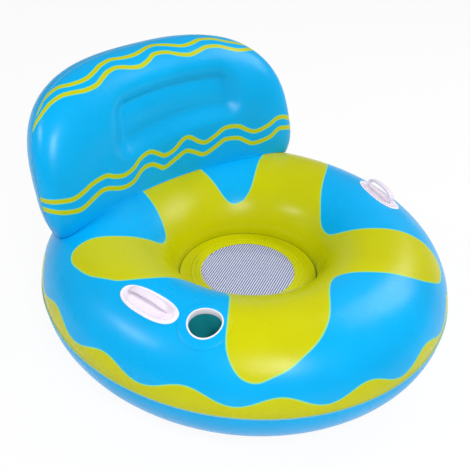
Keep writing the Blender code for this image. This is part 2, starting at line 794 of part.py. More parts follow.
def make_cup_holder(top_panel):
    """White collar, teal sleeve and base in a hole in the ring, with a round doubler."""
    centre = at_turn(CUP_TURN, tube_at(CUP_TURN)[0] + CUP_OUTSET, 0.0)
    crown = ring_top(centre.x, centre.y)
    floor = crown - CUP_DEPTH

    def follow_ring(angle, reach, height):
        spot = centre + round_z(angle, reach, 0.0)
        spot.z = ring_top(spot.x, spot.y) + height
        return spot

    def down_to_floor(angle, reach, rise):
        spot = follow_ring(angle, reach, rise)
        if rise == 0:
            spot.z = floor
        return spot

    doubler_low = 2 * GAP
    doubler_top = doubler_low + FILM
    rim_low = doubler_top + GAP
    rim_top = rim_low + COLLAR_RIM_THICKNESS
    rim_outer = cup_hole_radius + COLLAR_RIM_WIDTH

    bm = bmesh.new()
    doubler = [(cup_hole_radius, doubler_low), (doubler_radius, doubler_low)]
    doubler += [(doubler_radius, doubler_top), (cup_hole_radius, doubler_top)]
    turned(bm, doubler, follow_ring, FINE_STEPS)
    add_object("cup_doubler", bm, BLUE, 0.28)

    collar = [
        (CUP_RADIUS, rim_top - COLLAR_WALL),
        (CUP_RADIUS, -COLLAR_HEIGHT),
        (CUP_RADIUS + COLLAR_WALL, -COLLAR_HEIGHT),
        (CUP_RADIUS + COLLAR_WALL, rim_low),
        (rim_outer, rim_low),
        (rim_outer, rim_top - COLLAR_WALL),
        (rim_outer - COLLAR_WALL, rim_top),
        (CUP_RADIUS + COLLAR_WALL, rim_top),
    ]
    bm = bmesh.new()
    turned(bm, collar, follow_ring, FINE_STEPS)
    add_object("cup_collar", bm, WHITE, 0.3)

    sleeve_top = COLLAR_LAP - COLLAR_HEIGHT
    sleeve = [(sleeve_inner, sleeve_top), (sleeve_inner, 0.0)]
    sleeve += [(sleeve_outer, 0.0), (sleeve_outer, sleeve_top)]
    bm = bmesh.new()
    turned(bm, sleeve, down_to_floor, FINE_STEPS)
    add_object("cup_sleeve", bm, TEAL, 0.2)

    base_radius = sleeve_inner - GAP
    base = [(0.0, 0.0), (base_radius, 0.0), (base_radius, COLLAR_WALL), (0.0, COLLAR_WALL)]
    bm = bmesh.new()
    turned(bm, base, round_z, FINE_STEPS)
    middle = Matrix.Translation((centre.x, centre.y, floor))
    add_object("cup_base", bm, TEAL, 0.2, middle)

    bm = bmesh.new()
    bmesh.ops.create_cone(
        bm, cap_ends=True, segments=FINE_STEPS, radius1=cup_hole_radius,
        radius2=cup_hole_radius, depth=2 * CUP_DEPTH)
    mouth = Matrix.Translation((centre.x, centre.y, crown))
    cut(top_panel, add_object("cup_hole", bm, BLUE, 0.3, mouth))


# Valves


def make_valve(name, panel, spot, normal, parent=None):
    """Base welded into the film, a stem that pushes in, its plug and its check flap."""
    frame = frame_at(spot, normal)
    bore = VALVE_BUSH_RADIUS - VALVE_BUSH_WALL
    flange_top = GAP + VALVE_FLANGE_THICKNESS
    base = [
        (bore, -VALVE_BUSH_DEPTH),
        (VALVE_BUSH_RADIUS, -VALVE_BUSH_DEPTH),
        (VALVE_BUSH_RADIUS, GAP),
        (VALVE_FLANGE_RADIUS, GAP),
        (VALVE_FLANGE_RADIUS, (GAP + flange_top) / 2),
        (VALVE_FLANGE_RADIUS - VALVE_FLANGE_THICKNESS, flange_top),
        (bore, flange_top),
    ]
    bm = bmesh.new()
    turned(bm, base, round_z, ROUND_STEPS)
    add_object(name + "_valve_base", bm, CLEAR, 0.25, frame, parent)

    skirt_top = -SKIRT_DROP
    skirt_low = skirt_top - SKIRT_THICKNESS
    stem_bore = STEM_RADIUS - STEM_WALL
    skirt_radius = bore - GAP
    stem_profile = [
        (stem_bore, -STEM_DEPTH),
        (STEM_RADIUS, -STEM_DEPTH),
        (STEM_RADIUS, skirt_low),
        (skirt_radius, skirt_low),
        (skirt_radius, skirt_top),
        (STEM_RADIUS, skirt_top),
        (STEM_RADIUS, STEM_RISE),
        (stem_bore, STEM_RISE),
    ]
    bm = bmesh.new()
    turned(bm, stem_profile, round_z, ROUND_STEPS)
    stem = add_object(name + "_valve_stem", bm, CLEAR, 0.25, frame, parent)

    head_low = STEM_RISE + GAP
    head_top = head_low + PLUG_HEAD_THICKNESS
    edge = PLUG_HEAD_THICKNESS / 2
    spigot = stem_bore - GAP
    plug = [
        (0.0, -PLUG_DEPTH),
        (spigot - edge, -PLUG_DEPTH),
        (spigot, edge - PLUG_DEPTH),
        (spigot, head_low),
        (PLUG_HEAD_RADIUS, head_low),
        (PLUG_HEAD_RADIUS, head_top - edge),
        (PLUG_HEAD_RADIUS - edge, head_top),
        (0.0, head_top),
    ]
    bm = bmesh.new()
    turned(bm, plug, round_z, ROUND_STEPS)
    add_object(name + "_valve_plug", bm, CLEAR, 0.25, frame, stem)

    bm = bmesh.new()
    flap = [(0.0, -FLAP_THICKNESS), (STEM_RADIUS, -FLAP_THICKNESS), (STEM_RADIUS, 0.0), (0.0, 0.0)]
    turned(bm, flap, round_z, ROUND_STEPS)
    bmesh.ops.translate(bm, verts=bm.verts, vec=(-STEM_RADIUS, 0.0, 0.0))
    hinge = frame @ Matrix.Translation((STEM_RADIUS, 0.0, -STEM_DEPTH - GAP))
    add_object(name + "_valve_flap", bm, CLEAR, 0.4, hinge, stem)

    hole = VALVE_BUSH_RADIUS + GAP
    bm = bmesh.new()
    bmesh.ops.create_cone(
        bm, cap_ends=True, segments=ROUND_STEPS, radius1=hole, radius2=hole,
        depth=2 * CUT_OVERRUN)
    cut(panel, add_object(name + "_valve_hole", bm, BLUE, 0.3, frame))


def main():
    clear_scene()
    top_panel = make_ring_panel("ring_top_panel", 1, upper_seam)
    make_ring_panel("ring_bottom_panel", -1, seam_height)
    make_seat()
    make_backrest()
    make_handle("left", LEFT_HANDLE_TURN, LEFT_HANDLE_OUTSET, -1)
    make_handle("right", RIGHT_HANDLE_TURN, RIGHT_HANDLE_OUTSET, 1)
    make_cup_holder(top_panel)
    turn = ring_turn(RING_VALVE_STEP)
    lift = math.pi * RING_VALVE_LIFT_STEP / TUBE_STEPS
    make_valve("ring", top_panel, ring_point(turn, lift), ring_normal(turn, lift))


main()
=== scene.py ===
# %% [markdown]
# # Inflatable water hammock
# A pool lounge made of thin PVC film: an oval inflated ring to sit in, a net under the
# sitter, a backrest pillow, two moulded handles and a cup holder. The CAD model gives the
# frame: its bodies, joints and sizes. This script dresses that frame for a photograph.
# Everything is in metres, with +Z up and +Y towards the backrest.

# %% Load the frame
import math

import bmesh
import bpy
import numpy as np
from mathutils import Matrix, Vector


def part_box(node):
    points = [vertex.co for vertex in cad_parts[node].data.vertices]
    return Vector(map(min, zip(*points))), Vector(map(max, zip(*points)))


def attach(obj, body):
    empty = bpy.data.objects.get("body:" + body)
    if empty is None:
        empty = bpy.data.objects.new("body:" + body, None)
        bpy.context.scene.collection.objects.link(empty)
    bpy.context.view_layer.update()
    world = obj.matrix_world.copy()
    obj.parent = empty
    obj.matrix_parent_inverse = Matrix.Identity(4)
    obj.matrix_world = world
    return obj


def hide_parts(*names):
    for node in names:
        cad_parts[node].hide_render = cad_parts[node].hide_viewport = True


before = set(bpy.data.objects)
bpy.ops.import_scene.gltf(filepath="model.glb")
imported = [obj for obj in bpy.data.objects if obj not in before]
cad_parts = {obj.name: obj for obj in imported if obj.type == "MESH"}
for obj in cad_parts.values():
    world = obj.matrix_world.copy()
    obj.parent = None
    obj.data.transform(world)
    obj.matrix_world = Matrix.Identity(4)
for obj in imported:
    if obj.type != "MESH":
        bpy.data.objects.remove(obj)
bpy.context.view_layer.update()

net_low, net_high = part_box("seat_mesh")
seat_y = (net_low.y + net_high.y) / 2
net_radius = (net_high.x - net_low.x) / 2
mesh_top = net_high.z
print("seat centre at y =", round(seat_y, 4), "net radius", round(net_radius, 4))

# %% [markdown]
# ## Small helpers
# Colours are picked in sRGB, as a paint chart or a photo gives them, but Blender mixes
# light in linear values, so one function turns a hex code into linear numbers. Shader nodes
# are added by one function too: it takes the kind of node, what goes into its sockets
# (numbers, colours or another node's output) and the node's own options. Four kinds of node
# come up again and again, so each has a short name here: noise, a change of scale, a mix of
# two colours and a number kept on the mesh.

# %% Colour and node helpers
def from_hex(code):
    """An sRGB hex colour as linear red, green, blue and alpha."""
    channels = [int(code[i:i + 2], 16) / 255 for i in (1, 3, 5)]
    linear = [c / 12.92 if c <= 0.04045 else ((c + 0.055) / 1.055) ** 2.4 for c in channels]
    return (*linear, 1.0)


def feed(tree, node, inputs):
    """Set a node's sockets to values, or link them to other nodes' outputs."""
    for socket, value in inputs.items():
        if isinstance(value, bpy.types.NodeSocket):
            tree.links.new(value, node.inputs[socket])
        else:
            node.inputs[socket].default_value = value


def add_node(tree, kind, inputs=None, **options):
    """Add a node, set its options and feed its sockets."""
    node = tree.nodes.new(kind)
    for option, value in options.items():
        setattr(node, option, value)
    feed(tree, node, inputs or {})
    return node


def noise(tree, size, detail, roughness=0.5):
    """Clouds about as large as a size in metres, fixed to the object."""
    return add_node(tree, "ShaderNodeTexNoise", {
        "Vector": add_node(tree, "ShaderNodeTexCoord").outputs["Object"],
        "Scale": 1 / size, "Detail": detail, "Roughness": roughness}).outputs["Fac"]


def remap(tree, value, span, target=(0.0, 1.0)):
    """Carry a value from one span of numbers to another and clamp it there."""
    return add_node(tree, "ShaderNodeMapRange", {
        "Value": value, "From Min": span[0], "From Max": span[1],
        "To Min": target[0], "To Max": target[1]}).outputs["Result"]


def mix(tree, share, first, second):
    """The first colour at share 0, the second at share 1."""
    return add_node(tree, "ShaderNodeMix", {
        0: share, 6: first, 7: second}, data_type="RGBA").outputs[2]


def stored(tree, name):
    """A number kept on the points of the mesh."""
    return add_node(tree, "ShaderNodeAttribute", attribute_name=name).outputs["Fac"]


def new_finish(name):
    """A material with its node tree and its main shader."""
    made = bpy.data.materials.new(name)
    made.use_nodes = True
    return made, made.node_tree, made.node_tree.nodes["Principled BSDF"]


print("mid grey as linear light:", round(from_hex("#808080")[0], 3))

# %% [markdown]
# ## The surface of calendered PVC film
# The film is soft PVC rolled between polished cylinders, then printed and welded. It is
# glossy but never a mirror: fine grain from the rollers softens each reflection, handling
# leaves faint dull patches, and the stretched film has a slow ripple that makes highlights
# wander. All films here share this surface and differ only in their colour.

# %% Film surface
PVC_IOR = 1.53
FILM_SHINE = 0.20
GRAIN_SIZE = 0.0016
GRAIN_HEIGHT = 0.0000025
RIPPLE_SIZE = 0.045
RIPPLE_HEIGHT = 0.00035
SMUDGE_SIZE = 0.11
INK_CLOUD_SIZE = SMUDGE_SIZE / 0.6
CLOUD_SPAN = (0.3, 0.7)


def film_surface(tree, shader, dull=0.24, duller=0.36, ripple=1.0):
    """Gloss, dull patches, grain and ripple of PVC film, the same on every colour."""
    wave = add_node(tree, "ShaderNodeBump", {
        "Height": noise(tree, RIPPLE_SIZE, 1.0), "Distance": RIPPLE_HEIGHT * ripple})
    grain = add_node(tree, "ShaderNodeBump", {
        "Height": noise(tree, GRAIN_SIZE, 2.0), "Distance": GRAIN_HEIGHT,
        "Normal": wave.outputs["Normal"]})
    gloss = remap(tree, noise(tree, SMUDGE_SIZE, 4.0, 0.6), CLOUD_SPAN, (dull, duller))
    feed(tree, shader, {
        "Roughness": gloss, "Normal": grain.outputs["Normal"], "IOR": PVC_IOR,
        "Specular IOR Level": FILM_SHINE})


def ink_variation(tree, colour, amount=0.05):
    """A printed colour that is a touch deeper and paler from place to place."""
    level = remap(tree, noise(tree, INK_CLOUD_SIZE, 3.0), CLOUD_SPAN, (1 - amount, 1 + amount))
    return add_node(tree, "ShaderNodeHueSaturation", {
        "Color": colour, "Value": level}).outputs["Color"]


def plain_finish(name, colour, more=None, **surface):
    """Film or a moulding of one colour; more sets further sockets of its shader."""
    made, tree, shader = new_finish(name)
    feed(tree, shader, {"Base Color": from_hex(colour), **(more or {})})
    film_surface(tree, shader, **surface)
    return made


def inked_finish(name, ink):
    """Printed film; ink(tree) makes the colour, which then varies a little."""
    made, tree, shader = new_finish(name)
    feed(tree, shader, {"Base Color": ink_variation(tree, ink(tree))})
    film_surface(tree, shader)
    return made


# %% [markdown]
# ## Ink lines on the film
# The print is two inks on blue film: fields of yellow, each with a thin pale green edge
# where the yellow runs out over the blue. A field is held as one number per point of the
# mesh or per place in a formula: how far the point is from the field's edge, in metres,
# negative inside. The shader only has to look at that number, so the edge stays sharp at
# any distance, and no picture is needed.

# %% Print colours
BLUE = from_hex("#00AFF0")
YELLOW = from_hex("#C8C800")
EDGE_GREEN = from_hex("#9CDD7C")
EDGE_WIDTH = 0.0030
INK_BLUR = 0.0005


def printed_colour(tree, distance, edge_width=EDGE_WIDTH):
    """Yellow where the distance is negative, a pale green edge line, then blue."""
    def beyond(edge):
        return remap(tree, distance, (edge - INK_BLUR, edge + INK_BLUR))

    rim = mix(tree, beyond(-edge_width), YELLOW, EDGE_GREEN)
    return mix(tree, beyond(0.0), rim, BLUE)


# %% [markdown]
# ## Finishes of the ring's films
# The upper film carries the print, read from two numbers on its points: the distance to
# the lobed field round the seat and the distance to the scalloped border at the seam. The
# lower film and the small welded strips are the same film without any print.

# %% Ring films
def ring_ink(tree):
    nearest = add_node(tree, "ShaderNodeMath", {
        0: stored(tree, "lobes"), 1: stored(tree, "border")}, operation="MINIMUM")
    return printed_colour(tree, nearest.outputs[0])


ring_print = inked_finish("glossy_printed_pvc_film", ring_ink)
blue_film = inked_finish("glossy_blue_pvc_film", lambda tree: BLUE)
print("finishes:", ring_print.name, blue_film.name)

# %% [markdown]
# ## The shape of the ring
# Seen from above, the ring is an oval outside and a round hole inside, and the hole sits a
# little off the oval's middle, so the tube is thickest at the back, under the pillow. A
# section of the tube is an ellipse: air pressure rounds the film as far as the two seams
# let it. Every part that lies on the ring needs the height of this surface, so the shape
# is written once as functions, on whole arrays of places at a time.

# %% Ring functions
FILM = 0.0005
GAP = 0.0003
RING_HALF_WIDTH = 0.475
RING_HALF_LENGTH = 0.511
RING_SETBACK = 0.024
HOLE_RADIUS = 0.169
HOLE_LIP = 0.008
TUBE_HALF_HEIGHT = 0.1375
upper_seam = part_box("ring_top_panel")[0].z
lower_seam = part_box("ring_bottom_panel")[1].z


def ring_reach(turn):
    """Distance from the seat's middle to the outer seam in the direction of a turn."""
    across = np.cos(turn) / RING_HALF_WIDTH
    along = np.sin(turn) / RING_HALF_LENGTH
    offset = RING_SETBACK / RING_HALF_LENGTH
    square = across ** 2 + along ** 2
    lean = along * offset
    return (lean + np.sqrt(lean ** 2 + square * (1 - offset ** 2))) / square


def tube_at(turn):
    """Middle radius and half width of the tube in the direction of a turn."""
    outer = ring_reach(turn)
    return (outer + HOLE_RADIUS) / 2, (outer - HOLE_RADIUS) / 2


def ring_top(x, y, out=0.0):
    """Height of the ring's upper side at a place, and 0 beside the ring."""
    reach = np.hypot(x, y - seat_y)
    middle, half = tube_at(np.arctan2(y - seat_y, x))
    share = (reach - middle) / (half + out)
    top = upper_seam + (TUBE_HALF_HEIGHT + out) * np.sqrt(np.clip(1 - share ** 2, 0, 1))
    return np.where(np.abs(share) < 1, top, 0.0)


crown = ring_top(0.0, seat_y - tube_at(-math.pi / 2)[0])
print("seams at", round(lower_seam, 4), round(upper_seam, 4), "crown at", round(float(crown), 4))

# %% [markdown]
# ## Turning a finished mesh into a piece
# Each piece ends in the same way: its bmesh becomes a mesh with smooth shading, it gets a
# finish, it rides on the CAD body that carries it, and where it stands for a CAD node it
# replaces that node. The object itself stays at the origin: the piece's place is in its
# points.

# %% Piece helpers
def get_points(mesh):
    flat = np.empty(len(mesh.vertices) * 3)
    mesh.vertices.foreach_get("co", flat)
    return flat.reshape(-1, 3)


def set_points(mesh, points):
    mesh.vertices.foreach_set("co", np.ascontiguousarray(points).ravel())
    mesh.update()


def store(mesh, name, values):
    """Keep one number per point on the mesh, for a shader to read."""
    layer = mesh.attributes.new(name, "FLOAT", "POINT")
    layer.data.foreach_set("value", np.asarray(values, dtype=np.float32))


def as_mesh(name, bm):
    mesh = bpy.data.meshes.new(name)
    bm.to_mesh(mesh)
    bm.free()
    return mesh


def add_piece(name, mesh, finish, body, stands_for=(), wall=0.0, sharp=40):
    """Put a mesh in the scene as a piece on a body. wall thickens a film inwards."""
    mesh.shade_smooth()
    mesh.set_sharp_from_angle(angle=math.radians(sharp))
    mesh.materials.append(finish)
    piece = bpy.data.objects.new(name, mesh)
    bpy.context.scene.collection.objects.link(piece)
    if wall:
        solid = piece.modifiers.new("film", "SOLIDIFY")
        solid.thickness = wall
        solid.offset = -1
    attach(piece, body)
    if stands_for:
        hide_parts(*stands_for)
    print(f"{name}: {len(mesh.polygons)} faces on {body}")
    return piece


# %% [markdown]
# ## Spinning the ring
# A tube closed in a ring is a torus, and a torus is two spins: one point spun half round
# makes the section of a panel, and that section spun all the way round makes the panel.
# The spins make an even torus of easy numbers, radius 2 and tube radius 1. Each point's
# turn round the ring and lift round the tube are read back from it, the rows are drawn
# closer together at the seams, where the film puckers, and the point is set on the real
# ring. Where two flat panels are welded and blown up, the film near the seam has length to
# spare and gathers in short folds across it. Here they are a sum of waves whose counts
# don't divide each other, so that no fold repeats.

# %% Ring film mesh
RING_COLUMNS = 560
SEAM_CROWDING = 0.85
PUCKER_COUNTS = (83, 109, 137, 158)
PUCKER_HEIGHT = 0.0011
PUCKER_FADE = 0.016
SEAM_PINCH = 0.0028
PINCH_FADE = 0.007
WELD_FADE = 0.003


def half_torus(columns, rows):
    """The upper half of a torus about Z, radius 2, tube radius 1."""
    bm = bmesh.new()
    start = bm.verts.new((3, 0, 0))
    bmesh.ops.spin(
        bm, geom=[start], cent=(2, 0, 0), axis=(0, -1, 0), angle=math.pi, steps=rows)
    bmesh.ops.spin(
        bm, geom=bm.verts[:] + bm.edges[:], cent=(0, 0, 0), axis=(0, 0, 1),
        angle=2 * math.pi, steps=columns, use_merge=True)
    bmesh.ops.recalc_face_normals(bm, faces=bm.faces)
    return bm


def pucker(turn, shift=0):
    """Uneven folds round a seam, about -1 to 1."""
    waves = [np.sin(count * turn + shift * count + 0.7 * i * i)
             for i, count in enumerate(PUCKER_COUNTS)]
    patch = 0.65 + 0.35 * np.sin(9 * turn + 1 + shift) * np.sin(14 * turn + 2 * shift)
    return patch * sum(waves) / len(waves) * 1.6


def ring_film(rows, side, seam):
    """Mesh of the ring's upper (side 1) or lower (side -1) panel, with turn and lift."""
    mesh = as_mesh("ring_film", half_torus(RING_COLUMNS, rows))
    x, y, z = get_points(mesh).T
    turn = np.arctan2(y, x)
    lift = np.clip(np.arctan2(z, np.hypot(x, y) - 2), 0, math.pi)
    lift = lift - SEAM_CROWDING * np.sin(2 * lift) / 2
    middle, half = tube_at(turn)
    girth = (half + TUBE_HALF_HEIGHT) / 2
    from_outer = lift * girth
    from_inner = (math.pi - lift) * girth
    near = np.minimum(from_outer, from_inner)
    folds = pucker(turn) * PUCKER_HEIGHT * np.exp(-from_outer / PUCKER_FADE)
    folds += pucker(turn, 2) * PUCKER_HEIGHT / 2 * np.exp(-from_inner / PUCKER_FADE)
    edge_hold = 1 - np.exp(-near / WELD_FADE)
    out = folds * edge_hold - SEAM_PINCH * np.exp(-near / PINCH_FADE) * edge_hold
    reach = middle + (half + out) * np.cos(lift)
    height = seam + side * (TUBE_HALF_HEIGHT + out) * np.sin(lift)
    height = np.maximum(height, 0.0)
    spots = np.stack([reach * np.cos(turn), seat_y + reach * np.sin(turn), height], 1)
    set_points(mesh, spots)
    if side < 0:
        mesh.flip_normals()
    return mesh, turn, lift


def add_hole_lip(mesh):
    """Extrude the inner seam's edge flat into the seat hole, where the flange is welded."""
    bm = bmesh.new()
    bm.from_mesh(mesh)
    seat = Vector((0, seat_y, 0))
    edge = [e for e in bm.edges if e.is_boundary
            and all((v.co - seat).xy.length < HOLE_RADIUS + 0.01 for v in e.verts)]
    made = bmesh.ops.extrude_edge_only(bm, edges=edge)["geom"]
    share = (HOLE_RADIUS - HOLE_LIP) / HOLE_RADIUS
    bmesh.ops.scale(
        bm, vec=(share, share, 1), space=Matrix.Translation(-seat),
        verts=[v for v in made if isinstance(v, bmesh.types.BMVert)])
    bm.to_mesh(mesh)
    bm.free()


top_mesh, top_turn, top_lift = ring_film(76, 1, upper_seam)
bottom_mesh = ring_film(40, -1, lower_seam)[0]
print("upper film:", len(top_mesh.vertices), "points")

# %% [markdown]
# ## The lobed print
# The yellow field round the seat has five rounded lobes, each a different size. Its edge
# was read off the photo at the tips, flanks and hollows of the lobes and is written
# here as turns round the seat in degrees and distances from its middle in millimetres. A
# smooth closed curve runs through these places. The print was made while the film was
# flat, so the distances are measured on the film as if it lay flat again.

# %% Lobes of the print
LOBE_EDGE = (
    (150, 371), (150, 308), (149, 266), (147, 232), (144, 210), (137, 202), (130, 206),
    (118, 244), (111, 302), (107, 370), (102, 425), (93, 452), (84, 430), (78, 360), (74, 290),
    (71, 250), (67, 212), (62, 199), (55, 202), (51, 213), (48, 236), (46, 285), (45, 322),
    (43, 375), (40, 430), (34, 458), (27, 462), (21, 435), (16, 385), (12, 333), (8.5, 294),
    (3, 254), (-4.5, 224), (-13.5, 203), (-20.5, 198.5), (-28, 203), (-33, 219), (-37, 249),
    (-40, 295), (-41, 337), (-42, 379), (-44, 422), (-49, 449), (-57, 452), (-63, 427),
    (-67, 392), (-70, 356), (-74, 316), (-78, 280), (-82, 262), (-87, 263), (-94, 288),
    (-101, 339), (-104.5, 369), (-108.5, 395), (-112, 412), (-116, 427), (-120, 441),
    (-124, 449), (-128, 455), (-131.5, 451), (-134, 439), (-136, 418), (-137, 394),
    (-137.5, 347), (-138.5, 290), (-140.5, 245), (-147, 215), (-155, 205), (-165, 223),
    (-170, 246), (-175, 299), (179, 351), (174, 373), (169, 394), (164, 407), (158, 418),
    (153, 410))
CURVE_STEPS = 8


def flat_reach(turn, lift):
    """Distance from the seat's middle on the film laid flat."""
    middle, half = tube_at(turn)
    quarter = math.pi / 2 * np.sqrt((half ** 2 + TUBE_HALF_HEIGHT ** 2) / 2)
    return middle + quarter * (1 - 2 * lift / math.pi)


def smooth_curve(points, closed):
    """A Catmull-Rom curve through the points."""
    first, last = (points[-1:], points[:2]) if closed else (points[:1], points[-1:])
    run = np.concatenate([first, points, last])
    before, here, after, beyond = run[:-3], run[1:-2], run[2:-1], run[3:]
    parts = []
    for t in np.arange(CURVE_STEPS) / CURVE_STEPS:
        parts.append(0.5 * (
            2 * here + (after - before) * t
            + (2 * before - 5 * here + 4 * after - beyond) * t ** 2
            + (3 * here - before - 3 * after + beyond) * t ** 3))
    return np.stack(parts, 1).reshape(-1, 2)


def distance_inside(spots, loop):
    """Distance of each spot to a closed loop, negative inside it."""
    best = np.full(len(spots), 9.0)
    crossings = np.zeros(len(spots), int)
    for a, b in zip(loop, np.roll(loop, -1, 0)):
        side = b - a
        share = np.clip((spots - a) @ side / (side @ side), 0, 1)
        away = spots - a - share[:, None] * side
        best = np.minimum(best, np.hypot(away[:, 0], away[:, 1]))
        rises = (spots[:, 1] < a[1]) != (spots[:, 1] < b[1])
        if a[1] != b[1]:
            meet = a[0] + (spots[:, 1] - a[1]) * side[0] / side[1]
            crossings += rises & (spots[:, 0] < meet)
    return np.where(crossings % 2 == 1, -best, best)


edge_turn, edge_reach = np.radians(np.array(LOBE_EDGE)[:, 0]), np.array(LOBE_EDGE)[:, 1] / 1000
edge_middle, edge_half = tube_at(edge_turn)
edge_lift = np.arccos(np.clip((edge_reach - edge_middle) / edge_half, -1, 1))
edge_flat = flat_reach(edge_turn, edge_lift)
lobe_loop = smooth_curve(
    np.stack([edge_flat * np.cos(edge_turn), edge_flat * np.sin(edge_turn)], 1), closed=True)


def lobe_print(turn, lift):
    """Distance to the edge of the lobed field at places on the upper film."""
    reach = flat_reach(turn, lift)
    return distance_inside(np.stack([reach * np.cos(turn), reach * np.sin(turn)], 1), lobe_loop)


lobe_distance = lobe_print(top_turn, top_lift)
print("share of points inside the lobes:", round(float(np.mean(lobe_distance < 0)), 3))

# %% [markdown]
# ## The scalloped border
# Along the outer seam runs a yellow border whose upper edge rises and falls in sixteen
# scallops. They are not quite even: read off the photo, they get closer and lower towards
# the front right. So crests and hollows are listed by their turn in degrees and their height
# above the seam along the film in millimetres, and the edge swings smoothly from each to the
# next.

# %% Border of the print
SCALLOPS = (
    (-169.8, 58.5), (-157.8, 31), (-145.8, 58.5), (-133.6, 30), (-122.5, 54), (-111.3, 25.6),
    (-100.3, 52), (-89.5, 20), (-79, 48), (-68.2, 20.5), (-57.4, 49), (-46.6, 22), (-35.8, 50),
    (-25, 24), (-14.2, 51), (-3.4, 26), (7.6, 53), (18.4, 28), (29.2, 55), (40, 30), (51, 57),
    (62.4, 31), (73.8, 58.5), (85.2, 31), (96.6, 58.5), (108.1, 31), (119.6, 58.5),
    (131.2, 31), (142.8, 58.5), (154.5, 31), (166.2, 58.5), (178.2, 31), (190.2, 58.5))
scallop_turn, scallop_height = np.array(SCALLOPS).T * [[1], [0.001]]


def border_print(turn, lift):
    """Distance above the border's scalloped edge at places on the upper film."""
    girth = (tube_at(turn)[1] + TUBE_HALF_HEIGHT) / 2
    degrees = np.degrees(turn)
    degrees = np.where(degrees < scallop_turn[0], degrees + 360, degrees)
    before = np.clip(np.searchsorted(scallop_turn, degrees) - 1, 0, len(scallop_turn) - 2)
    share = (degrees - scallop_turn[before]) / (scallop_turn[before + 1] - scallop_turn[before])
    swing = 0.5 - 0.5 * np.cos(np.pi * share)
    low = scallop_height[before]
    return lift * girth - low - (scallop_height[before + 1] - low) * swing


store(top_mesh, "lobes", lobe_distance)
store(top_mesh, "border", border_print(top_turn, top_lift))
print("border from", scallop_height.min(), "to", scallop_height.max(), "m above the seam")

# %% [markdown]
# ## Holes in the ring's film
# The cup holder hangs in a round hole, and the valve is welded into a small one. The hole
# is cut as it would be by hand on a mesh: the faces inside it are deleted and the points
# left on its edge are drawn onto the circle. The collar and the valve's flange cover the
# edge.

# %% Cut the holes
def cut_round_hole(mesh, centre, axis, radius):
    """Delete the faces inside a circle about an axis and draw its edge to the circle."""
    bm = bmesh.new()
    bm.from_mesh(mesh)
    axis = Vector(axis).normalized()
    centre = Vector(centre)

    def beside(spot):
        away = spot - centre
        return away - axis * away.dot(axis)

    limit = 3 * radius
    inside = [f for f in bm.faces if beside(f.calc_center_median()).length < radius
              and (f.calc_center_median() - centre).length < limit]
    marked = set(inside)
    rim = {v for f in inside for v in f.verts if any(g not in marked for g in v.link_faces)}
    bmesh.ops.delete(bm, geom=inside, context="FACES")
    for v in rim:
        away = beside(v.co)
        v.co += away.normalized() * radius - away
    bm.to_mesh(mesh)
    bm.free()
    return len(inside)


cup_low, cup_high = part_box("cup_base")
cup_x, cup_y, cup_floor = (cup_low.x + cup_high.x) / 2, (cup_low.y + cup_high.y) / 2, cup_low.z
SLEEVE_INNER = 0.0353
CUP_HOLE_RADIUS = SLEEVE_INNER + FILM + GAP
RING_VALVE_SPOT = (0.44895, 0.03405, 0.21074)
RING_VALVE_AXIS = (0.80238, 0.11536, 0.58556)
VALVE_HOLE_RADIUS = 0.0115
print("cup hole took", cut_round_hole(
    top_mesh, (cup_x, cup_y, cup_floor + 0.09), (0, 0, 1), CUP_HOLE_RADIUS), "faces")
print("valve hole took", cut_round_hole(
    top_mesh, RING_VALVE_SPOT, RING_VALVE_AXIS, VALVE_HOLE_RADIUS), "faces")
add_hole_lip(top_mesh)
add_hole_lip(bottom_mesh)
ring_top_film = add_piece(
    "ring_top_film", top_mesh, ring_print, "ring", ["ring_top_panel"], FILM)
ring_bottom_film = add_piece(
    "ring_bottom_film", bottom_mesh, blue_film, "ring", ["ring_bottom_panel"], FILM)

# %% [markdown]
# ## Weld seams
# A high-frequency welder presses the two films together with a toothed bar. What is left
# of them outside the weld is a narrow pale rib, with a tooth every 6 mm. It is one thin
# strip run round the seam whose height rises and falls with the teeth, with only a few
# points to each tooth, since there are hundreds of them.

# %% Seam finish and ring seam
seam_film = plain_finish("embossed_pvc_weld", "#7FC0D2", dull=0.32, duller=0.45)

TOOTH_PITCH = 0.006
SEAM_PROUD = 0.0022
SEAM_HALF_HEIGHT = 0.0016


def toothed_strip(place, teeth, proud, half_height, samples=4):
    """A closed rib round a seam. place(shares, out, rise) sets its points on the seam."""
    bm = bmesh.new()
    section = bmesh.ops.create_circle(bm, segments=6, radius=1.0)["verts"]
    bmesh.ops.rotate(bm, verts=section, cent=(0, 0, 0), matrix=Matrix.Rotation(math.pi / 2, 3, "X"))
    bmesh.ops.translate(bm, verts=section, vec=(3, 0, 0))
    bmesh.ops.spin(
        bm, geom=bm.verts[:] + bm.edges[:], cent=(0, 0, 0), axis=(0, 0, 1),
        angle=2 * math.pi, steps=teeth * samples, use_merge=True)
    bmesh.ops.recalc_face_normals(bm, faces=bm.faces)
    mesh = as_mesh("seam", bm)
    x, y, z = get_points(mesh).T
    turn = np.arctan2(y, x)
    tooth = 0.72 + 0.28 * np.cos(teeth * turn)
    set_points(mesh, place(turn, (np.hypot(x, y) - 3) * proud * tooth, z * half_height * tooth))
    return mesh


def on_ring_seam(turn, out, rise):
    reach = ring_reach(turn) + out
    level = (upper_seam + lower_seam) / 2 + rise
    return np.stack([reach * np.cos(turn), seat_y + reach * np.sin(turn), level], 1)


seam_length = 2 * math.pi * (RING_HALF_WIDTH + RING_HALF_LENGTH) / 2
ring_teeth = round(seam_length / TOOTH_PITCH)
seam_mesh = toothed_strip(on_ring_seam, ring_teeth, SEAM_PROUD, SEAM_HALF_HEIGHT)
add_piece("ring_seam_rib", seam_mesh, seam_film, "ring")
print("teeth round the ring:", ring_teeth)

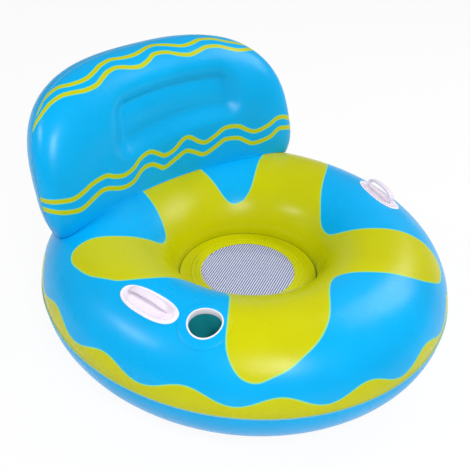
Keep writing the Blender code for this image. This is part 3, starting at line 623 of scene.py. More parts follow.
# %% [markdown]
# ## The seat: flange, net and backing ring
# Inside the ring's hole a yellow film flange is welded to the lips of both panels. It
# carries the net, which is clamped between the flange and a backing ring by two pressed
# weld lines. All three are turned shapes: a section in the plane of the axis, spun round.

# %% Turned shapes
def turned(profile, steps, middle=(0, 0, 0)):
    """Spin a section of (reach, height) places round Z, then move it to its middle."""
    bm = bmesh.new()
    points = [bm.verts.new((reach, 0, height)) for reach, height in profile]
    pairs = list(zip(points, points[1:]))
    if not profile[0][0] == profile[-1][0] == 0:
        pairs.append((points[-1], points[0]))
    for near, far in pairs:
        bm.edges.new((near, far))
    bmesh.ops.spin(
        bm, geom=bm.verts[:] + bm.edges[:], cent=(0, 0, 0), axis=(0, 0, 1),
        angle=2 * math.pi, steps=steps, use_merge=True)
    bmesh.ops.remove_doubles(bm, verts=bm.verts, dist=1e-7)
    bmesh.ops.recalc_face_normals(bm, faces=bm.faces)
    bmesh.ops.translate(bm, verts=bm.verts, vec=middle)
    return bm


def soften(bm, width, segments=2, angle=35):
    """Round the edges that are sharper than an angle."""
    edges = [e for e in bm.edges if e.is_manifold and e.calc_face_angle(0) > math.radians(angle)]
    bmesh.ops.bevel(
        bm, geom=edges, offset=width, affect="EDGES", segments=segments, profile=0.5,
        material=-1, clamp_overlap=True)


# %% Seat flange
# Width of the painted shade line along the flange's outer edge, where it meets the ring's film.
CREASE_SHADE_WIDTH = 0.0016


def flange_ink_and_crease_shade(tree):
    """Yellow with a painted shade line along its outer edge, for the crease against the ring's film.
    """
    past_crease_shade = remap(tree, stored(tree, "outer_edge"), (CREASE_SHADE_WIDTH, CREASE_SHADE_WIDTH + INK_BLUR))
    # The dark olive colour is painted shade for the crease where the flange meets the ring's film.
    return mix(tree, past_crease_shade, from_hex("#4E6414"), YELLOW)


yellow_film = inked_finish("glossy_yellow_pvc_film", flange_ink_and_crease_shade)

BACKING_WIDTH = 0.018
backing_low, backing_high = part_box("seat_backing_ring")
OPEN_RADIUS = backing_high.x - BACKING_WIDTH
FLANGE_OUTER = HOLE_RADIUS - GAP
# radius, half width and height of each pressed line
WELD_LINES = ((0.1185, 0.0022, 0.0006), (0.1260, 0.0022, 0.0005), (0.1375, 0.0030, 0.0009))
WELD_DIP = -0.0003
FLANGE_ROWS = 72
SEAT_STEPS = 192


def flange_height(reach):
    """The flange slopes from the net down to the lips of the ring's films."""
    share = np.clip((reach - net_radius) / (HOLE_RADIUS - HOLE_LIP - net_radius), 0, 1)
    low = upper_seam + FILM + GAP
    high = mesh_top + GAP
    return high + (low - high) * share ** 2 * (3 - 2 * share)


def weld_ridge(reach):
    """Pressed lines: a small ridge with a dip on both sides."""
    height = 0.0
    for middle, half_width, rise in WELD_LINES:
        across = (reach - middle) / half_width
        height = height + rise * (1 - across ** 2) * np.exp(-across ** 2)
    return height


flange_reaches = np.linspace(OPEN_RADIUS, FLANGE_OUTER, FLANGE_ROWS)
flange_lower = flange_height(flange_reaches)
flange_upper = flange_lower + FILM + np.maximum(weld_ridge(flange_reaches), WELD_DIP)
section = list(zip(flange_reaches, flange_lower)) + list(zip(flange_reaches, flange_upper))[::-1]
mesh = as_mesh("seat_flange_film", turned(section, SEAT_STEPS, (0, seat_y, 0)))
x, y, z = get_points(mesh).T
store(mesh, "outer_edge", FLANGE_OUTER - np.hypot(x, y - seat_y))
add_piece("seat_flange_film", mesh, yellow_film, "ring", ["seat_flange"])

# %% Backing ring
bm = turned([
    (OPEN_RADIUS, backing_low.z), (backing_high.x, backing_low.z),
    (backing_high.x, backing_high.z), (OPEN_RADIUS, backing_high.z)], SEAT_STEPS, (0, seat_y, 0))
soften(bm, 0.0001)
add_piece("seat_backing_film", as_mesh("seat_backing_film", bm), blue_film, "ring",
          ["seat_backing_ring"])

# %% [markdown]
# ## The net
# The net is a laid mesh of coated polyester yarn: wide white yarns and narrower navy ones
# lie side by side with small gaps, and thin yarns cross below them and bond to them. Every
# yarn is real geometry, so water and light go through the gaps. Each is a flat six-sided
# rod as long as the chord of the round opening that it spans. The photo's yarns lie about
# 3.7 mm apart; they are drawn 5.6 mm apart, so that the stripes still show in a small view.

# %% Net of yarns
YARN_GRAIN = 1 / 900
net_yarn, tree, shader = new_finish("coated_polyester_mesh")
fibre = noise(tree, YARN_GRAIN, 2.0)
yarn = mix(tree, stored(tree, "navy"), from_hex("#D2D4F1"), from_hex("#161E6A"))
dyed = add_node(tree, "ShaderNodeHueSaturation", {
    "Color": yarn, "Value": remap(tree, fibre, (0.0, 1.0), (0.88, 1.08))})
twist = add_node(tree, "ShaderNodeBump", {"Height": fibre, "Distance": 0.00008})
feed(tree, shader, {
    "Base Color": dyed.outputs["Color"], "Normal": twist.outputs["Normal"], "Roughness": 0.55,
    "IOR": 1.5})

NET_TURN = math.radians(28.6)
YARN_PITCH = 0.0056
WHITE_YARN = 0.0031
NAVY_YARN = 0.0022
CROSS_YARN = 0.0004
YARN_THICKNESS = 0.00045
CROSS_THICKNESS = 0.00035
YARN_BOND = 0.0001


def lay_yarns(bm, start, width, thickness, level, turn):
    """Parallel flat rods, each as long as the net's chord at its place."""
    count = int(net_radius / YARN_PITCH) + 1
    laid = []
    for i in range(-count, count + 1):
        offset = i * YARN_PITCH + start
        if abs(offset) > net_radius - width:
            continue
        chord = 2 * math.sqrt(net_radius ** 2 - (abs(offset) + width / 2) ** 2)
        place = (
            Matrix.Translation((0, seat_y, level)) @ Matrix.Rotation(turn, 4, "Z")
            @ Matrix.Translation((0, offset, 0)) @ Matrix.Rotation(math.pi / 2, 4, "Y")
            @ Matrix.Diagonal((thickness, width, chord, 1)))
        made = bmesh.ops.create_cone(
            bm, cap_ends=True, segments=6, radius1=0.5, radius2=0.5, depth=1, matrix=place)
        laid.append(made["verts"])
    return laid


bm = bmesh.new()
navy = bm.verts.layers.float.new("navy")
upper = mesh_top - YARN_THICKNESS / 2
lower = upper - (YARN_THICKNESS + CROSS_THICKNESS) / 2 + YARN_BOND
yarns = lay_yarns(bm, 0, WHITE_YARN, YARN_THICKNESS, upper, NET_TURN)
dark_yarns = lay_yarns(bm, YARN_PITCH / 2, NAVY_YARN, YARN_THICKNESS, upper, NET_TURN)
yarns += lay_yarns(bm, 0, CROSS_YARN, CROSS_THICKNESS, lower, NET_TURN + math.pi / 2)
for v in [v for yarn in dark_yarns for v in yarn]:
    v[navy] = 1
net = add_piece("seat_net", as_mesh("seat_net", bm), net_yarn, "ring", ["seat_mesh"])
print("yarns:", len(yarns) + len(dark_yarns))

# %% [markdown]
# ## The pillow
# The backrest is two shaped films welded round their edge and blown up. Its outline is
# rounder below than above, it bends forward round the sitter, more so low down, and it
# rests with its foot on the ring, which presses the film to its own shape. A baffle inside
# ties the front to the back and draws the front in to an oblong hollow with a crisp edge.
# A square grid gives the film its points, closer together towards the seam.

# %% Pillow shape
PILLOW_HALF_WIDTH = 0.379
PILLOW_RISE = 0.270
PILLOW_DROP = 0.225
PILLOW_FRONT_DEPTH = 0.116
PILLOW_BACK_DEPTH = 0.128
BEND_RADIUS_BOTTOM = 0.416
BEND_RADIUS_TOP = 0.914
PILLOW_TILT = math.radians(5.4)
TOP_CORNER_POWER = 3.0
BOTTOM_CORNER_POWER = 2.25
CROWN_POWER = 3.77
CORNER_FULLNESS = 0.012
FULL_SPOT = (0.25, -0.15)
FULL_SIZE = (0.075, 0.055)
WINDOW_SHIFT = 0.027
WINDOW_HALF_LENGTH = 0.156
WINDOW_HALF_HEIGHT = 0.036
WINDOW_RISE = 0.1375
WINDOW_ARCH = 0.009
WINDOW_TAPER = 0.005
WINDOW_SLOPE = 0.050
WINDOW_DEPTH = 0.021
BACK_WINDOW_DEPTH = 0.014
WINDOW_BULGE = 0.0025
WINDOW_CORNER = 0.016
PILLOW_REST = 0.0011
SEAM_REST = 0.0005
LEAN_LINE = (0.3485, 0.2724)
LEAN_RANGE = math.radians(6)
PILLOW_BEHIND = 0.42
PILLOW_ABOVE = 0.041
pillow_middle = np.array([0.0, seat_y + PILLOW_BEHIND, 2 * TUBE_HALF_HEIGHT + PILLOW_ABOVE])
pillow_up = np.array([0.0, math.sin(PILLOW_TILT), math.cos(PILLOW_TILT)])
pillow_forward = np.array([0.0, -math.cos(PILLOW_TILT), math.sin(PILLOW_TILT)])


def pillow_spread(u, v):
    """From a square of shares to the rounded outline: width, rise and edge share."""
    edge = np.maximum(np.abs(u), np.abs(v))
    size = np.maximum(edge, 1e-6)
    power = np.where(v > 0, TOP_CORNER_POWER, BOTTOM_CORNER_POWER)
    norm = (np.abs(u / size) ** power + np.abs(v / size) ** power) ** (1 / power)
    shrink = 1 / np.maximum(norm, 1)
    reach = np.where(v > 0, PILLOW_RISE, PILLOW_DROP)
    return u * shrink * PILLOW_HALF_WIDTH, v * shrink * reach, edge


def window_sink(width, rise, depth):
    """Depth of the hollow: arched, a little lower at its right end, with a hard upper
    crease, a softer lower one and a floor that swells slightly."""
    along = np.clip((width - WINDOW_SHIFT) / WINDOW_HALF_LENGTH, -1.3, 1.3)
    half_height = WINDOW_HALF_HEIGHT - WINDOW_TAPER * along
    up = rise + WINDOW_ARCH * along ** 2 - WINDOW_RISE - WINDOW_TAPER * along
    across = np.abs(width - WINDOW_SHIFT) - (WINDOW_HALF_LENGTH - WINDOW_CORNER)
    above = np.abs(up) - (half_height - WINDOW_CORNER)
    outside = np.hypot(np.maximum(across, 0), np.maximum(above, 0)) - WINDOW_CORNER
    inside = np.minimum(np.maximum(across, above) - WINDOW_CORNER, 0)
    slope = np.clip(1 - np.maximum(outside, 0) / WINDOW_SLOPE, 0, 1)
    soft = np.clip(0.5 - up / (2 * half_height), 0, 1)
    slope = (1 - soft) * slope ** 2 + soft * slope ** 2 * (3 - 2 * slope)
    floor = 1 - np.clip(-inside / WINDOW_HALF_HEIGHT, 0, 1)
    return depth * slope - WINDOW_BULGE * (1 - floor ** 2) * (outside <= 0)


def pillow_edge(width, rise):
    """Edge share of a place: 0 in the middle, 1 on the seam."""
    power = np.where(rise > 0, TOP_CORNER_POWER, BOTTOM_CORNER_POWER)
    reach = np.where(rise > 0, PILLOW_RISE, PILLOW_DROP)
    return (np.abs(width / PILLOW_HALF_WIDTH) ** power + np.abs(rise / reach) ** power) ** (1 / power)


def pillow_depth(width, rise, edge, side):
    """Height of the film above the pillow's middle surface, front (1) or back (-1)."""
    crown = PILLOW_FRONT_DEPTH if side > 0 else PILLOW_BACK_DEPTH
    swell = crown * np.sqrt(np.clip(1 - edge ** CROWN_POWER, 0, 1))
    if side > 0:
        near = (((width - FULL_SPOT[0]) / FULL_SIZE[0]) ** 2
                + ((rise - FULL_SPOT[1]) / FULL_SIZE[1]) ** 2)
        swell = swell + CORNER_FULLNESS * np.exp(-near) * np.clip(1 - edge ** 8, 0, 1)
    sink = window_sink(width, rise, WINDOW_DEPTH if side > 0 else BACK_WINDOW_DEPTH)
    return np.maximum(swell - sink * np.clip(swell / WINDOW_SLOPE, 0, 1), GAP / 2)


def pillow_bend(width, rise):
    """How far the pillow curves forward round the sitter away from its middle."""
    share = (rise + PILLOW_DROP) / (PILLOW_RISE + PILLOW_DROP)
    return width ** 2 * ((1 - share) / BEND_RADIUS_BOTTOM + share / BEND_RADIUS_TOP) / 2


def pillow_place(width, rise, depth):
    """Points of the pillow from places on its middle surface and heights above it."""
    out = pillow_bend(width, rise) + depth
    spots = pillow_middle + rise[:, None] * pillow_up + out[:, None] * pillow_forward
    spots[:, 0] += width
    return spots


def settle(spots):
    """How far points must rise to lie on the ring, at rest and while the pillow leans."""
    need = np.zeros(len(spots))
    for angle in np.linspace(0, LEAN_RANGE, 5):
        y = spots[:, 1] - LEAN_LINE[0]
        z = spots[:, 2] - LEAN_LINE[1]
        moved_y = y * math.cos(angle) + z * math.sin(angle) + LEAN_LINE[0]
        moved_z = z * math.cos(angle) - y * math.sin(angle) + LEAN_LINE[1]
        need = np.maximum(need, ring_top(spots[:, 0], moved_y, PILLOW_REST) - moved_z)
    return need


print("pillow middle at", [round(float(c), 3) for c in pillow_middle])

# %% Pillow films
PILLOW_COLUMNS = 190
PILLOW_ROWS = 150
RIM_COUNTS = (53, 71, 94, 113)
RIM_PUCKER = 0.0024
RIM_FADE = 0.020
RIM_WELD = 0.006


def rim_pucker(around, shift):
    waves = [np.sin(count * around + shift * count + 0.9 * i) for i, count in enumerate(RIM_COUNTS)]
    patch = 0.6 + 0.4 * np.sin(7 * around + shift) * np.sin(11 * around)
    return patch * sum(waves) / len(waves) * 1.6


def pillow_film(side):
    """Mesh of the pillow's front (1) or back (-1) film, and its places on the pillow."""
    bm = bmesh.new()
    bmesh.ops.create_grid(bm, x_segments=PILLOW_COLUMNS, y_segments=PILLOW_ROWS, size=1.0)
    mesh = as_mesh("pillow_film", bm)
    x, y = get_points(mesh).T[:2]
    width, rise, edge = pillow_spread(np.sin(x * math.pi / 2), np.sin(y * math.pi / 2))
    depth = pillow_depth(width, rise, edge, side)
    around = np.arctan2(rise, width)
    rim_distance = (1 - edge) * np.hypot(width, rise) / np.maximum(edge, 0.1)
    film_distance = np.hypot(rim_distance, depth)
    folds = rim_pucker(around, side) * RIM_PUCKER * np.exp(-film_distance / RIM_FADE)
    hold = np.clip(film_distance / RIM_WELD, 0, 1)
    depth = np.maximum(depth + folds * hold, GAP / 2)
    spots = pillow_place(width, rise, side * depth)
    seam_spots = pillow_place(width, rise, 0 * depth)
    lift = settle(spots)
    seam_lift = np.maximum(settle(seam_spots - SEAM_REST * pillow_up), 0)
    lift = np.where(edge > 0.9999, np.maximum(lift, seam_lift), lift)
    spots[:, 2] += lift
    set_points(mesh, spots)
    if side < 0:
        mesh.flip_normals()
    ease(mesh)
    spots = get_points(mesh)
    spots[:, 2] += settle(spots)
    set_points(mesh, spots)
    return mesh, width, rise


def ease(mesh):
    """Ease small kinks out of a film, leaving its seam where it is."""
    bm = bmesh.new()
    bm.from_mesh(mesh)
    bmesh.ops.smooth_vert(
        bm, verts=[v for v in bm.verts if not v.is_boundary], factor=0.5, use_axis_x=True,
        use_axis_y=True, use_axis_z=True)
    bm.to_mesh(mesh)
    bm.free()


front_mesh, front_width, front_rise = pillow_film(1)
back_mesh = pillow_film(-1)[0]
low, high = get_points(front_mesh).min(0), get_points(front_mesh).max(0)
print("front film from", low.round(3), "to", high.round(3))

# %% [markdown]
# ## The pillow's print
# Two pairs of yellow waves run across the front, one at half height and one near the top.
# They were printed on flat film, so their places are given as lengths along the film from
# its middle, across and up, in millimetres, read off the photo at crests, hollows
# and flanks. Each point of the film keeps its distance to the nearest wave, less half a
# wave's width, and the shader inks it as it does the ring's print.

# %% Waves of the print
STRIPE_HALF = 0.0060
STRIPE_EDGE = 0.0018
UPPER_OUTER = (
    (-420, 222), (-352, 236), (-316, 264), (-269, 275), (-228, 265), (-191, 264), (-160, 275),
    (-136, 289), (-105, 298), (-66, 290), (-30, 291), (21, 306), (54, 299), (96, 282),
    (128, 284), (163, 294), (201, 286), (232, 271), (252, 265), (283, 258), (320, 262),
    (360, 250))
UPPER_INNER = (
    (-430, 170), (-375, 203), (-337, 222), (-301, 240), (-267, 247), (-234, 242), (-206, 237),
    (-173, 240), (-149, 253), (-130, 264), (-103, 269), (-66, 257), (-39, 253), (-10, 263),
    (13, 275), (46, 272), (81, 256), (108, 251), (138, 258), (166, 264), (197, 257),
    (226, 243), (253, 235), (289, 235), (320, 239), (350, 236), (390, 220))
LOWER_UPPER = (
    (-440, 10), (-405, 19), (-358, 16), (-323, 12), (-292, 18), (-262, 27), (-219, 29),
    (-190, 16), (-159, 8), (-128, 14), (-101, 31), (-70, 37), (-45, 24), (-25, 12), (5, 18),
    (37, 39), (58, 37), (80, 21), (101, 13), (132, 25), (160, 39), (198, 36), (225, 20),
    (250, 11), (288, 19), (319, 32), (345, 29), (370, 17), (400, 10), (440, 20))
LOWER_LOWER = (
    (-440, -10), (-392, -4), (-344, -14), (-307, -19), (-265, -7), (-240, -1), (-217, -4),
    (-190, -15), (-165, -22), (-133, -20), (-99, 1), (-69, 2), (-48, -10), (-29, -20), (5, -9),
    (40, 4), (66, -6), (93, -19), (130, -6), (157, 7), (196, 3), (218, -10), (242, -21),
    (291, -14), (323, 2), (364, -7), (400, -20), (440, -10))


def film_lengths(width, rise, samples=40):
    """Lengths along the front film from its middle to a place, across and up."""
    shares = np.linspace(0, 1, samples)
    lengths = []
    for w, r, way in ((width[:, None] * shares, rise[:, None] + 0 * shares, width),
                      (width[:, None] + 0 * shares, rise[:, None] * shares, rise)):
        out = pillow_bend(w, r) + pillow_depth(w, r, pillow_edge(w, r), 1)
        steps = np.hypot(np.diff(w if way is width else r, axis=1), np.diff(out, axis=1))
        lengths.append(steps.sum(1) * np.sign(way))
    return np.stack(lengths, 1)


def distance_to(spots, line):
    """Distance of each spot to an open line of points."""
    best = np.full(len(spots), 9.0)
    for a, b in zip(line, line[1:]):
        share = np.clip((spots - a) @ (b - a) / ((b - a) @ (b - a)), 0, 1)
        best = np.minimum(best, np.linalg.norm(spots - a - share[:, None] * (b - a), axis=1))
    return best


film_places = film_lengths(front_width, front_rise)
waves = [smooth_curve(np.array(wave) / 1000, closed=False)
         for wave in (UPPER_OUTER, UPPER_INNER, LOWER_UPPER, LOWER_LOWER)]
stripes = np.min([distance_to(film_places, wave) for wave in waves], axis=0) - STRIPE_HALF
store(front_mesh, "stripes", stripes)
print("share of the front film under yellow:", round(float(np.mean(stripes < 0)), 3))

# %% Pillow finish
pillow_print = inked_finish(
    "glossy_striped_pvc_film",
    lambda tree: printed_colour(tree, stored(tree, "stripes"), STRIPE_EDGE))

# %% Pillow pieces
PILLOW_VALVE_SPOT = (0.19589, 0.48117, 0.33687)
PILLOW_VALVE_AXIS = (0.40717, 0.90463, -0.12591)
cut_round_hole(back_mesh, PILLOW_VALVE_SPOT, PILLOW_VALVE_AXIS, VALVE_HOLE_RADIUS)
front_film = add_piece(
    "backrest_front_film", front_mesh, pillow_print, "backrest",
    ["backrest_front_panel"], FILM)
back_film = add_piece(
    "backrest_back_film", back_mesh, blue_film, "backrest",
    ["backrest_back_panel"], FILM)

# %% Pillow seam
PILLOW_TOOTH = 0.004
PILLOW_SEAM_PROUD = 0.0014
PILLOW_SEAM_HALF_HEIGHT = 0.0009


def on_pillow_seam(turn, out, rise):
    """Place a rib on the pillow's edge; the turn runs round the outline."""
    u, v = np.cos(turn), np.sin(turn)
    size = np.maximum(np.abs(u), np.abs(v))
    width, height = pillow_spread(u / size, v / size)[:2]
    outward = np.stack([width / PILLOW_HALF_WIDTH ** 2, height / PILLOW_RISE ** 2], 1)
    outward /= np.linalg.norm(outward, axis=1)[:, None]
    seam = pillow_place(width, height, 0 * width)
    spots = pillow_place(width + outward[:, 0] * out, height + outward[:, 1] * out, rise)
    spots[:, 2] += np.maximum(settle(seam - SEAM_REST * pillow_up), settle(seam))
    return spots


rim_turn = np.linspace(0, 2 * math.pi, 721)
rim_line = on_pillow_seam(rim_turn, 0 * rim_turn, 0 * rim_turn)
rim_length = float(np.linalg.norm(np.diff(rim_line, axis=0), axis=1).sum())
pillow_teeth = round(rim_length / PILLOW_TOOTH)
mesh = toothed_strip(on_pillow_seam, pillow_teeth, PILLOW_SEAM_PROUD, PILLOW_SEAM_HALF_HEIGHT)
add_piece("backrest_seam_rib", mesh, seam_film, "backrest")
print("pillow seam", round(rim_length, 3), "m with", pillow_teeth, "teeth")

# %% [markdown]
# ## What holds the pillow
# A strip of film welded to the ring's crown carries the pillow, and the baffle inside ties
# its two films together. Neither shows from outside, but both are real pieces: a grid laid
# on the ring, and a strip run round the window's edge from the front film to the back one.
# The baffle starts as a straight tube of radius 1, whose points are then moved; the bows of
# the handles start from the same tube.

# %% Weld strip
STRIP_START = 0.009
STRIP_WIDTH = 0.036
STRIP_HALF_TURN = math.radians(32)
bm = bmesh.new()
bmesh.ops.create_grid(bm, x_segments=72, y_segments=12, size=1.0)
mesh = as_mesh("backrest_weld_film", bm)
x, y, z = get_points(mesh).T
turn = math.pi / 2 - x * STRIP_HALF_TURN
reach = tube_at(turn)[0] + STRIP_START + STRIP_WIDTH * (1 + y) / 2
x, y = reach * np.cos(turn), seat_y + reach * np.sin(turn)
set_points(mesh, np.stack([x, y, ring_top(x, y, GAP + FILM)], 1))
add_piece(
    "backrest_weld_film", mesh, blue_film, "ring", ["backrest_weld_strip"], FILM)

# %% Baffle
BAFFLE_WALL = 0.0008
BAFFLE_INSET = FILM + 3 * GAP + 0.002


def straight_tube(segments, rows):
    """An open tube of radius 1 about Z, from height 0 to 1."""
    bm = bmesh.new()
    bmesh.ops.create_circle(bm, segments=segments, radius=1.0)
    bmesh.ops.spin(
        bm, geom=bm.verts[:] + bm.edges[:], cent=(0, 0, 0), axis=(0, 0, 1), angle=0,
        dvec=(0, 0, 1 / rows), steps=rows)
    bmesh.ops.recalc_face_normals(bm, faces=bm.faces)
    return bm


mesh = as_mesh("backrest_baffle_film", straight_tube(128, 10))
x, y, z = get_points(mesh).T
size = np.maximum(np.abs(x), np.abs(y)) ** 0.85
width = WINDOW_SHIFT + x / size * WINDOW_HALF_LENGTH * 0.97
rise = WINDOW_RISE + y / size * WINDOW_HALF_HEIGHT * 0.95
front, back = (
    pillow_depth(width, rise, pillow_edge(width, rise), side) - BAFFLE_INSET for side in (1, -1))
set_points(mesh, pillow_place(width, rise, -back + (front + back) * z))
add_piece(
    "backrest_baffle_film", mesh, blue_film, "backrest", ["backrest_baffle"],
    BAFFLE_WALL)

# %% [markdown]
# ## Handles
# Each handle is three mouldings: an oval patch of white film with a raised rim, welded to
# the ring; an oval plate on it; and a bow to hold, hinged at its two feet. The patch and
# the plate are discs turned on a flat table and then laid over the ring, point by point.
# The rim keeps the same width all round, so the oval is inset along its own normal.

# %% Moulded finishes
white_film = plain_finish("moulded_white_pvc", "#F4F1FA", dull=0.22, duller=0.32, ripple=0.2)
pale_plastic = plain_finish(
    "moulded_soft_pvc", "#EFE4F1",
    {"Subsurface Weight": 0.15, "Subsurface Radius": (0.004, 0.003, 0.004)},
    dull=0.3, duller=0.4, ripple=0.1)
clear_plastic = plain_finish(
    "milky_clear_soft_pvc", "#C9D6DF", {"Transmission Weight": 0.35},
    dull=0.25, duller=0.35, ripple=0.1)

# %% Handle patches and plates
PATCH_HALF_LENGTH = 0.076
PATCH_HALF_WIDTH = 0.030
PATCH_CORNER_POWER = 2.35
PATCH_RIM_WIDTH = 0.005
PATCH_RIM_HEIGHT = 0.0024
PATCH_THICKNESS = 0.0008
PLATE_HALF_LENGTH = 0.0675
PLATE_HALF_WIDTH = 0.0232
PLATE_RIM_WIDTH = 0.004
PLATE_THICKNESS = 0.0014
PLATE_SUNK = 0.00028
OVAL_STEPS = 112
HANDLE_TURNS = {"left": math.radians(194.7), "right": math.radians(-13.2)}
HANDLE_OUTSETS = {"left": 0.037, "right": 0.052}
HANDLE_SKEW = math.radians(-3)


def handle_axes(word):
    """Middle of a handle on the floor, its direction out from the seat and along."""
    turn = HANDLE_TURNS[word]
    reach, lie = tube_at(turn)[0] + HANDLE_OUTSETS[word], turn + HANDLE_SKEW
    middle = np.array([reach * math.cos(turn), seat_y + reach * math.sin(turn)])
    along = np.array([-math.sin(lie), math.cos(lie)]) * (1 if word == "right" else -1)
    return middle, np.array([math.cos(lie), math.sin(lie)]), along


def blunt(value):
    """A cosine or sine for an oval with ends a little blunter than an ellipse's."""
    return np.sign(value) * np.abs(value) ** (2 / PATCH_CORNER_POWER)


def lay_oval(mesh, word, half_length, half_width, rim):
    """Lay a turned disc of radius 1 over the ring as an oval with an even rim."""
    x, y, height = get_points(mesh).T
    share, angle = np.hypot(x, y), np.arctan2(y, x)
    edge = np.stack([half_length * blunt(np.cos(angle)), half_width * blunt(np.sin(angle))])
    power = PATCH_CORNER_POWER - 1
    normal = np.sign(edge) * np.abs(edge) ** power
    normal /= np.array([[half_length], [half_width]]) ** PATCH_CORNER_POWER
    normal /= np.linalg.norm(normal, axis=0) + 1e-12
    rim_share = 1 - rim / half_width
    inset = np.minimum(1 - share, 1 - rim_share) * half_width
    flat = (edge - normal * inset) * np.minimum(share / rim_share, 1)
    middle, out, along = handle_axes(word)
    spots = middle[:, None] + along[:, None] * flat[0] + out[:, None] * flat[1]
    rise = ring_top(spots[0], spots[1]) + height
    set_points(mesh, np.stack([spots[0], spots[1], rise], 1))


def disc_section(half_width, low, top, rim_width, rim_height, rows=18):
    """Section of a disc of radius 1 with a rounded raised rim."""
    rim_share = 1 - rim_width / half_width
    section = [(share, low) for share in np.linspace(0, 1, rows)]
    for share in np.linspace(1, rim_share, 9):
        across = (1 - share) / (1 - rim_share)
        section.append((share, top + (rim_height - top) * math.sin(math.pi * across) ** 0.8))
    section += [(share, top) for share in np.linspace(rim_share, 0, rows)[1:]]
    return section


patch_top = GAP + PATCH_THICKNESS
plate_low = patch_top + GAP
plate_top = plate_low + PLATE_THICKNESS
OVALS = (
    # kind, name's ending, half length, half width, underside, top, rim width, rim top, finish
    ("patch", "patch_film", PATCH_HALF_LENGTH, PATCH_HALF_WIDTH, GAP, patch_top,
     PATCH_RIM_WIDTH, PATCH_RIM_HEIGHT, white_film, "white_film"),
    ("plate", "plate_moulding", PLATE_HALF_LENGTH, PLATE_HALF_WIDTH, plate_low,
     plate_top - PLATE_SUNK, PLATE_RIM_WIDTH, plate_top, pale_plastic, "handle_plastic"),
)
for word in ("left", "right"):
    for kind, ending, length, width, low, top, rim, rim_height, finish, slot in OVALS:
        section = disc_section(width, low, top, rim, rim_height)
        mesh = as_mesh(f"{word}_{kind}", turned(section, OVAL_STEPS))
        lay_oval(mesh, word, length, width, rim)
        add_piece(f"{word}_handle_{ending}", mesh, finish, "ring", [f"{word}_handle_{kind}"])

# %% [markdown]
# ## The bows
# A bow is a flat band on a path like a flattened arch, narrow at its feet, where it folds.
# Its section is a circle drawn out to a soft-cornered rectangle. It starts as the straight
# tube of before: each of the tube's loops goes to one place of the path, square to it.

# %% Handle bows
HALF_SPAN = 0.0495
GRIP_RISE = 0.0195
GRIP_THICKNESS = 0.0072
GRIP_WIDTH = 0.0155
GRIP_FOOT_WIDTH = 0.0054
GRIP_FOOT_DEPTH = 0.0025
GRIP_WIDENING = 0.016
GRIP_CORNER_POWER = 2.6
GRIP_CORNER_BLUNT = 0.55
GRIP_SIDES = 20
GRIP_STATIONS = 56
SLOPE_STEP = 0.004
# share of the foot's depth and size of the section there
FOOT_ENDS = ((0.6, 0.92), (0.85, 0.7), (1.0, 0.35))
# hinge middle, direction of the span and direction of the rise
GRIP_FRAMES = {
    "left": ((-0.34612, -0.12130, 0.27486), (-0.20534, 0.97862, 0.01142),
             (-0.21653, -0.05681, 0.97462)),
    "right": ((0.36333, -0.11572, 0.27041), (0.27394, 0.96162, -0.01569),
              (0.30761, -0.07215, 0.94877)),
}


def frame_matrix(spot, x_axis, z_axis):
    """The matrix of a frame from its origin and two of its axes."""
    x_axis, z_axis = Vector(x_axis), Vector(z_axis)
    turn = Matrix((x_axis, z_axis.cross(x_axis), z_axis)).transposed().to_4x4()
    return Matrix.Translation(spot) @ turn


def blunted(value, power):
    return math.copysign(abs(value) ** power, value)


def bow_station(share):
    """Place on the arch and the band's half width; share runs 0 to 1."""
    angle = math.pi * min(max(share, 0), 1)
    along = HALF_SPAN * blunted(math.cos(angle), 2 / GRIP_CORNER_POWER)
    rise = GRIP_RISE * max(math.sin(angle), 0) ** (2 / GRIP_CORNER_POWER)
    widening = min(rise / GRIP_WIDENING, 1)
    widening = widening * widening * (3 - 2 * widening)
    half = (GRIP_FOOT_WIDTH + (GRIP_WIDTH - GRIP_FOOT_WIDTH) * widening) / 2
    return Vector((along, 0, rise)), half


def bow_stations():
    """Place, direction, half width and size of each section, from foot to foot."""
    made = []
    for i in range(GRIP_STATIONS + 1):
        share = i / GRIP_STATIONS
        spot, half = bow_station(share)
        way = bow_station(share + SLOPE_STEP)[0] - bow_station(share - SLOPE_STEP)[0]
        if share in (0, 1):
            way = Vector((0, 0, 1 - 2 * share))
        made.append((spot, way.normalized(), half, 1.0))
    (first, up, half), (last, down) = made[0][:3], made[-1][:2]
    for depth, size in FOOT_ENDS:
        drop = Vector((0, 0, GRIP_FOOT_DEPTH * depth))
        made.insert(0, (first - drop, up, half, size))
        made.append((last - drop, down, half, size))
    return made


def make_bow(word):
    stations = bow_stations()
    bm = straight_tube(GRIP_SIDES, len(stations) - 1)
    bmesh.ops.holes_fill(bm, edges=[e for e in bm.edges if e.is_boundary])
    for v in bm.verts:
        spot, way, half, size = stations[round(v.co.z * (len(stations) - 1))]
        wide, thick = (blunted(c, GRIP_CORNER_BLUNT) for c in v.co.xy.normalized())
        band = Vector((way.z, 0, -way.x))
        v.co = (spot + Vector((0, wide * half * size, 0))
                + band * thick * GRIP_THICKNESS / 2 * size)
    bm.normal_update()
    bmesh.ops.recalc_face_normals(bm, faces=bm.faces)
    bmesh.ops.transform(bm, matrix=frame_matrix(*GRIP_FRAMES[word]), verts=bm.verts)
    return as_mesh(word + "_bow", bm)


for word in ("left", "right"):
    add_piece(word + "_handle_bow", make_bow(word), pale_plastic, word + "_grip",
              [word + "_handle_grip"])

# %% [markdown]
# ## Cup holder
# The cup holder is a tube of dark teal film with a flat bottom, hung from a white collar in
# a hole of the ring. A round doubler under the collar spreads the load; it carries the same
# print as the film that it is welded to. All four are turned shapes about the hole's axis.
# The collar, the doubler and the tube's top then follow the slope of the ring, while the
# bottom stays level.

# %% Cup holder
teal_film = plain_finish("glossy_teal_pvc_film", "#1C929B", dull=0.2, duller=0.3)

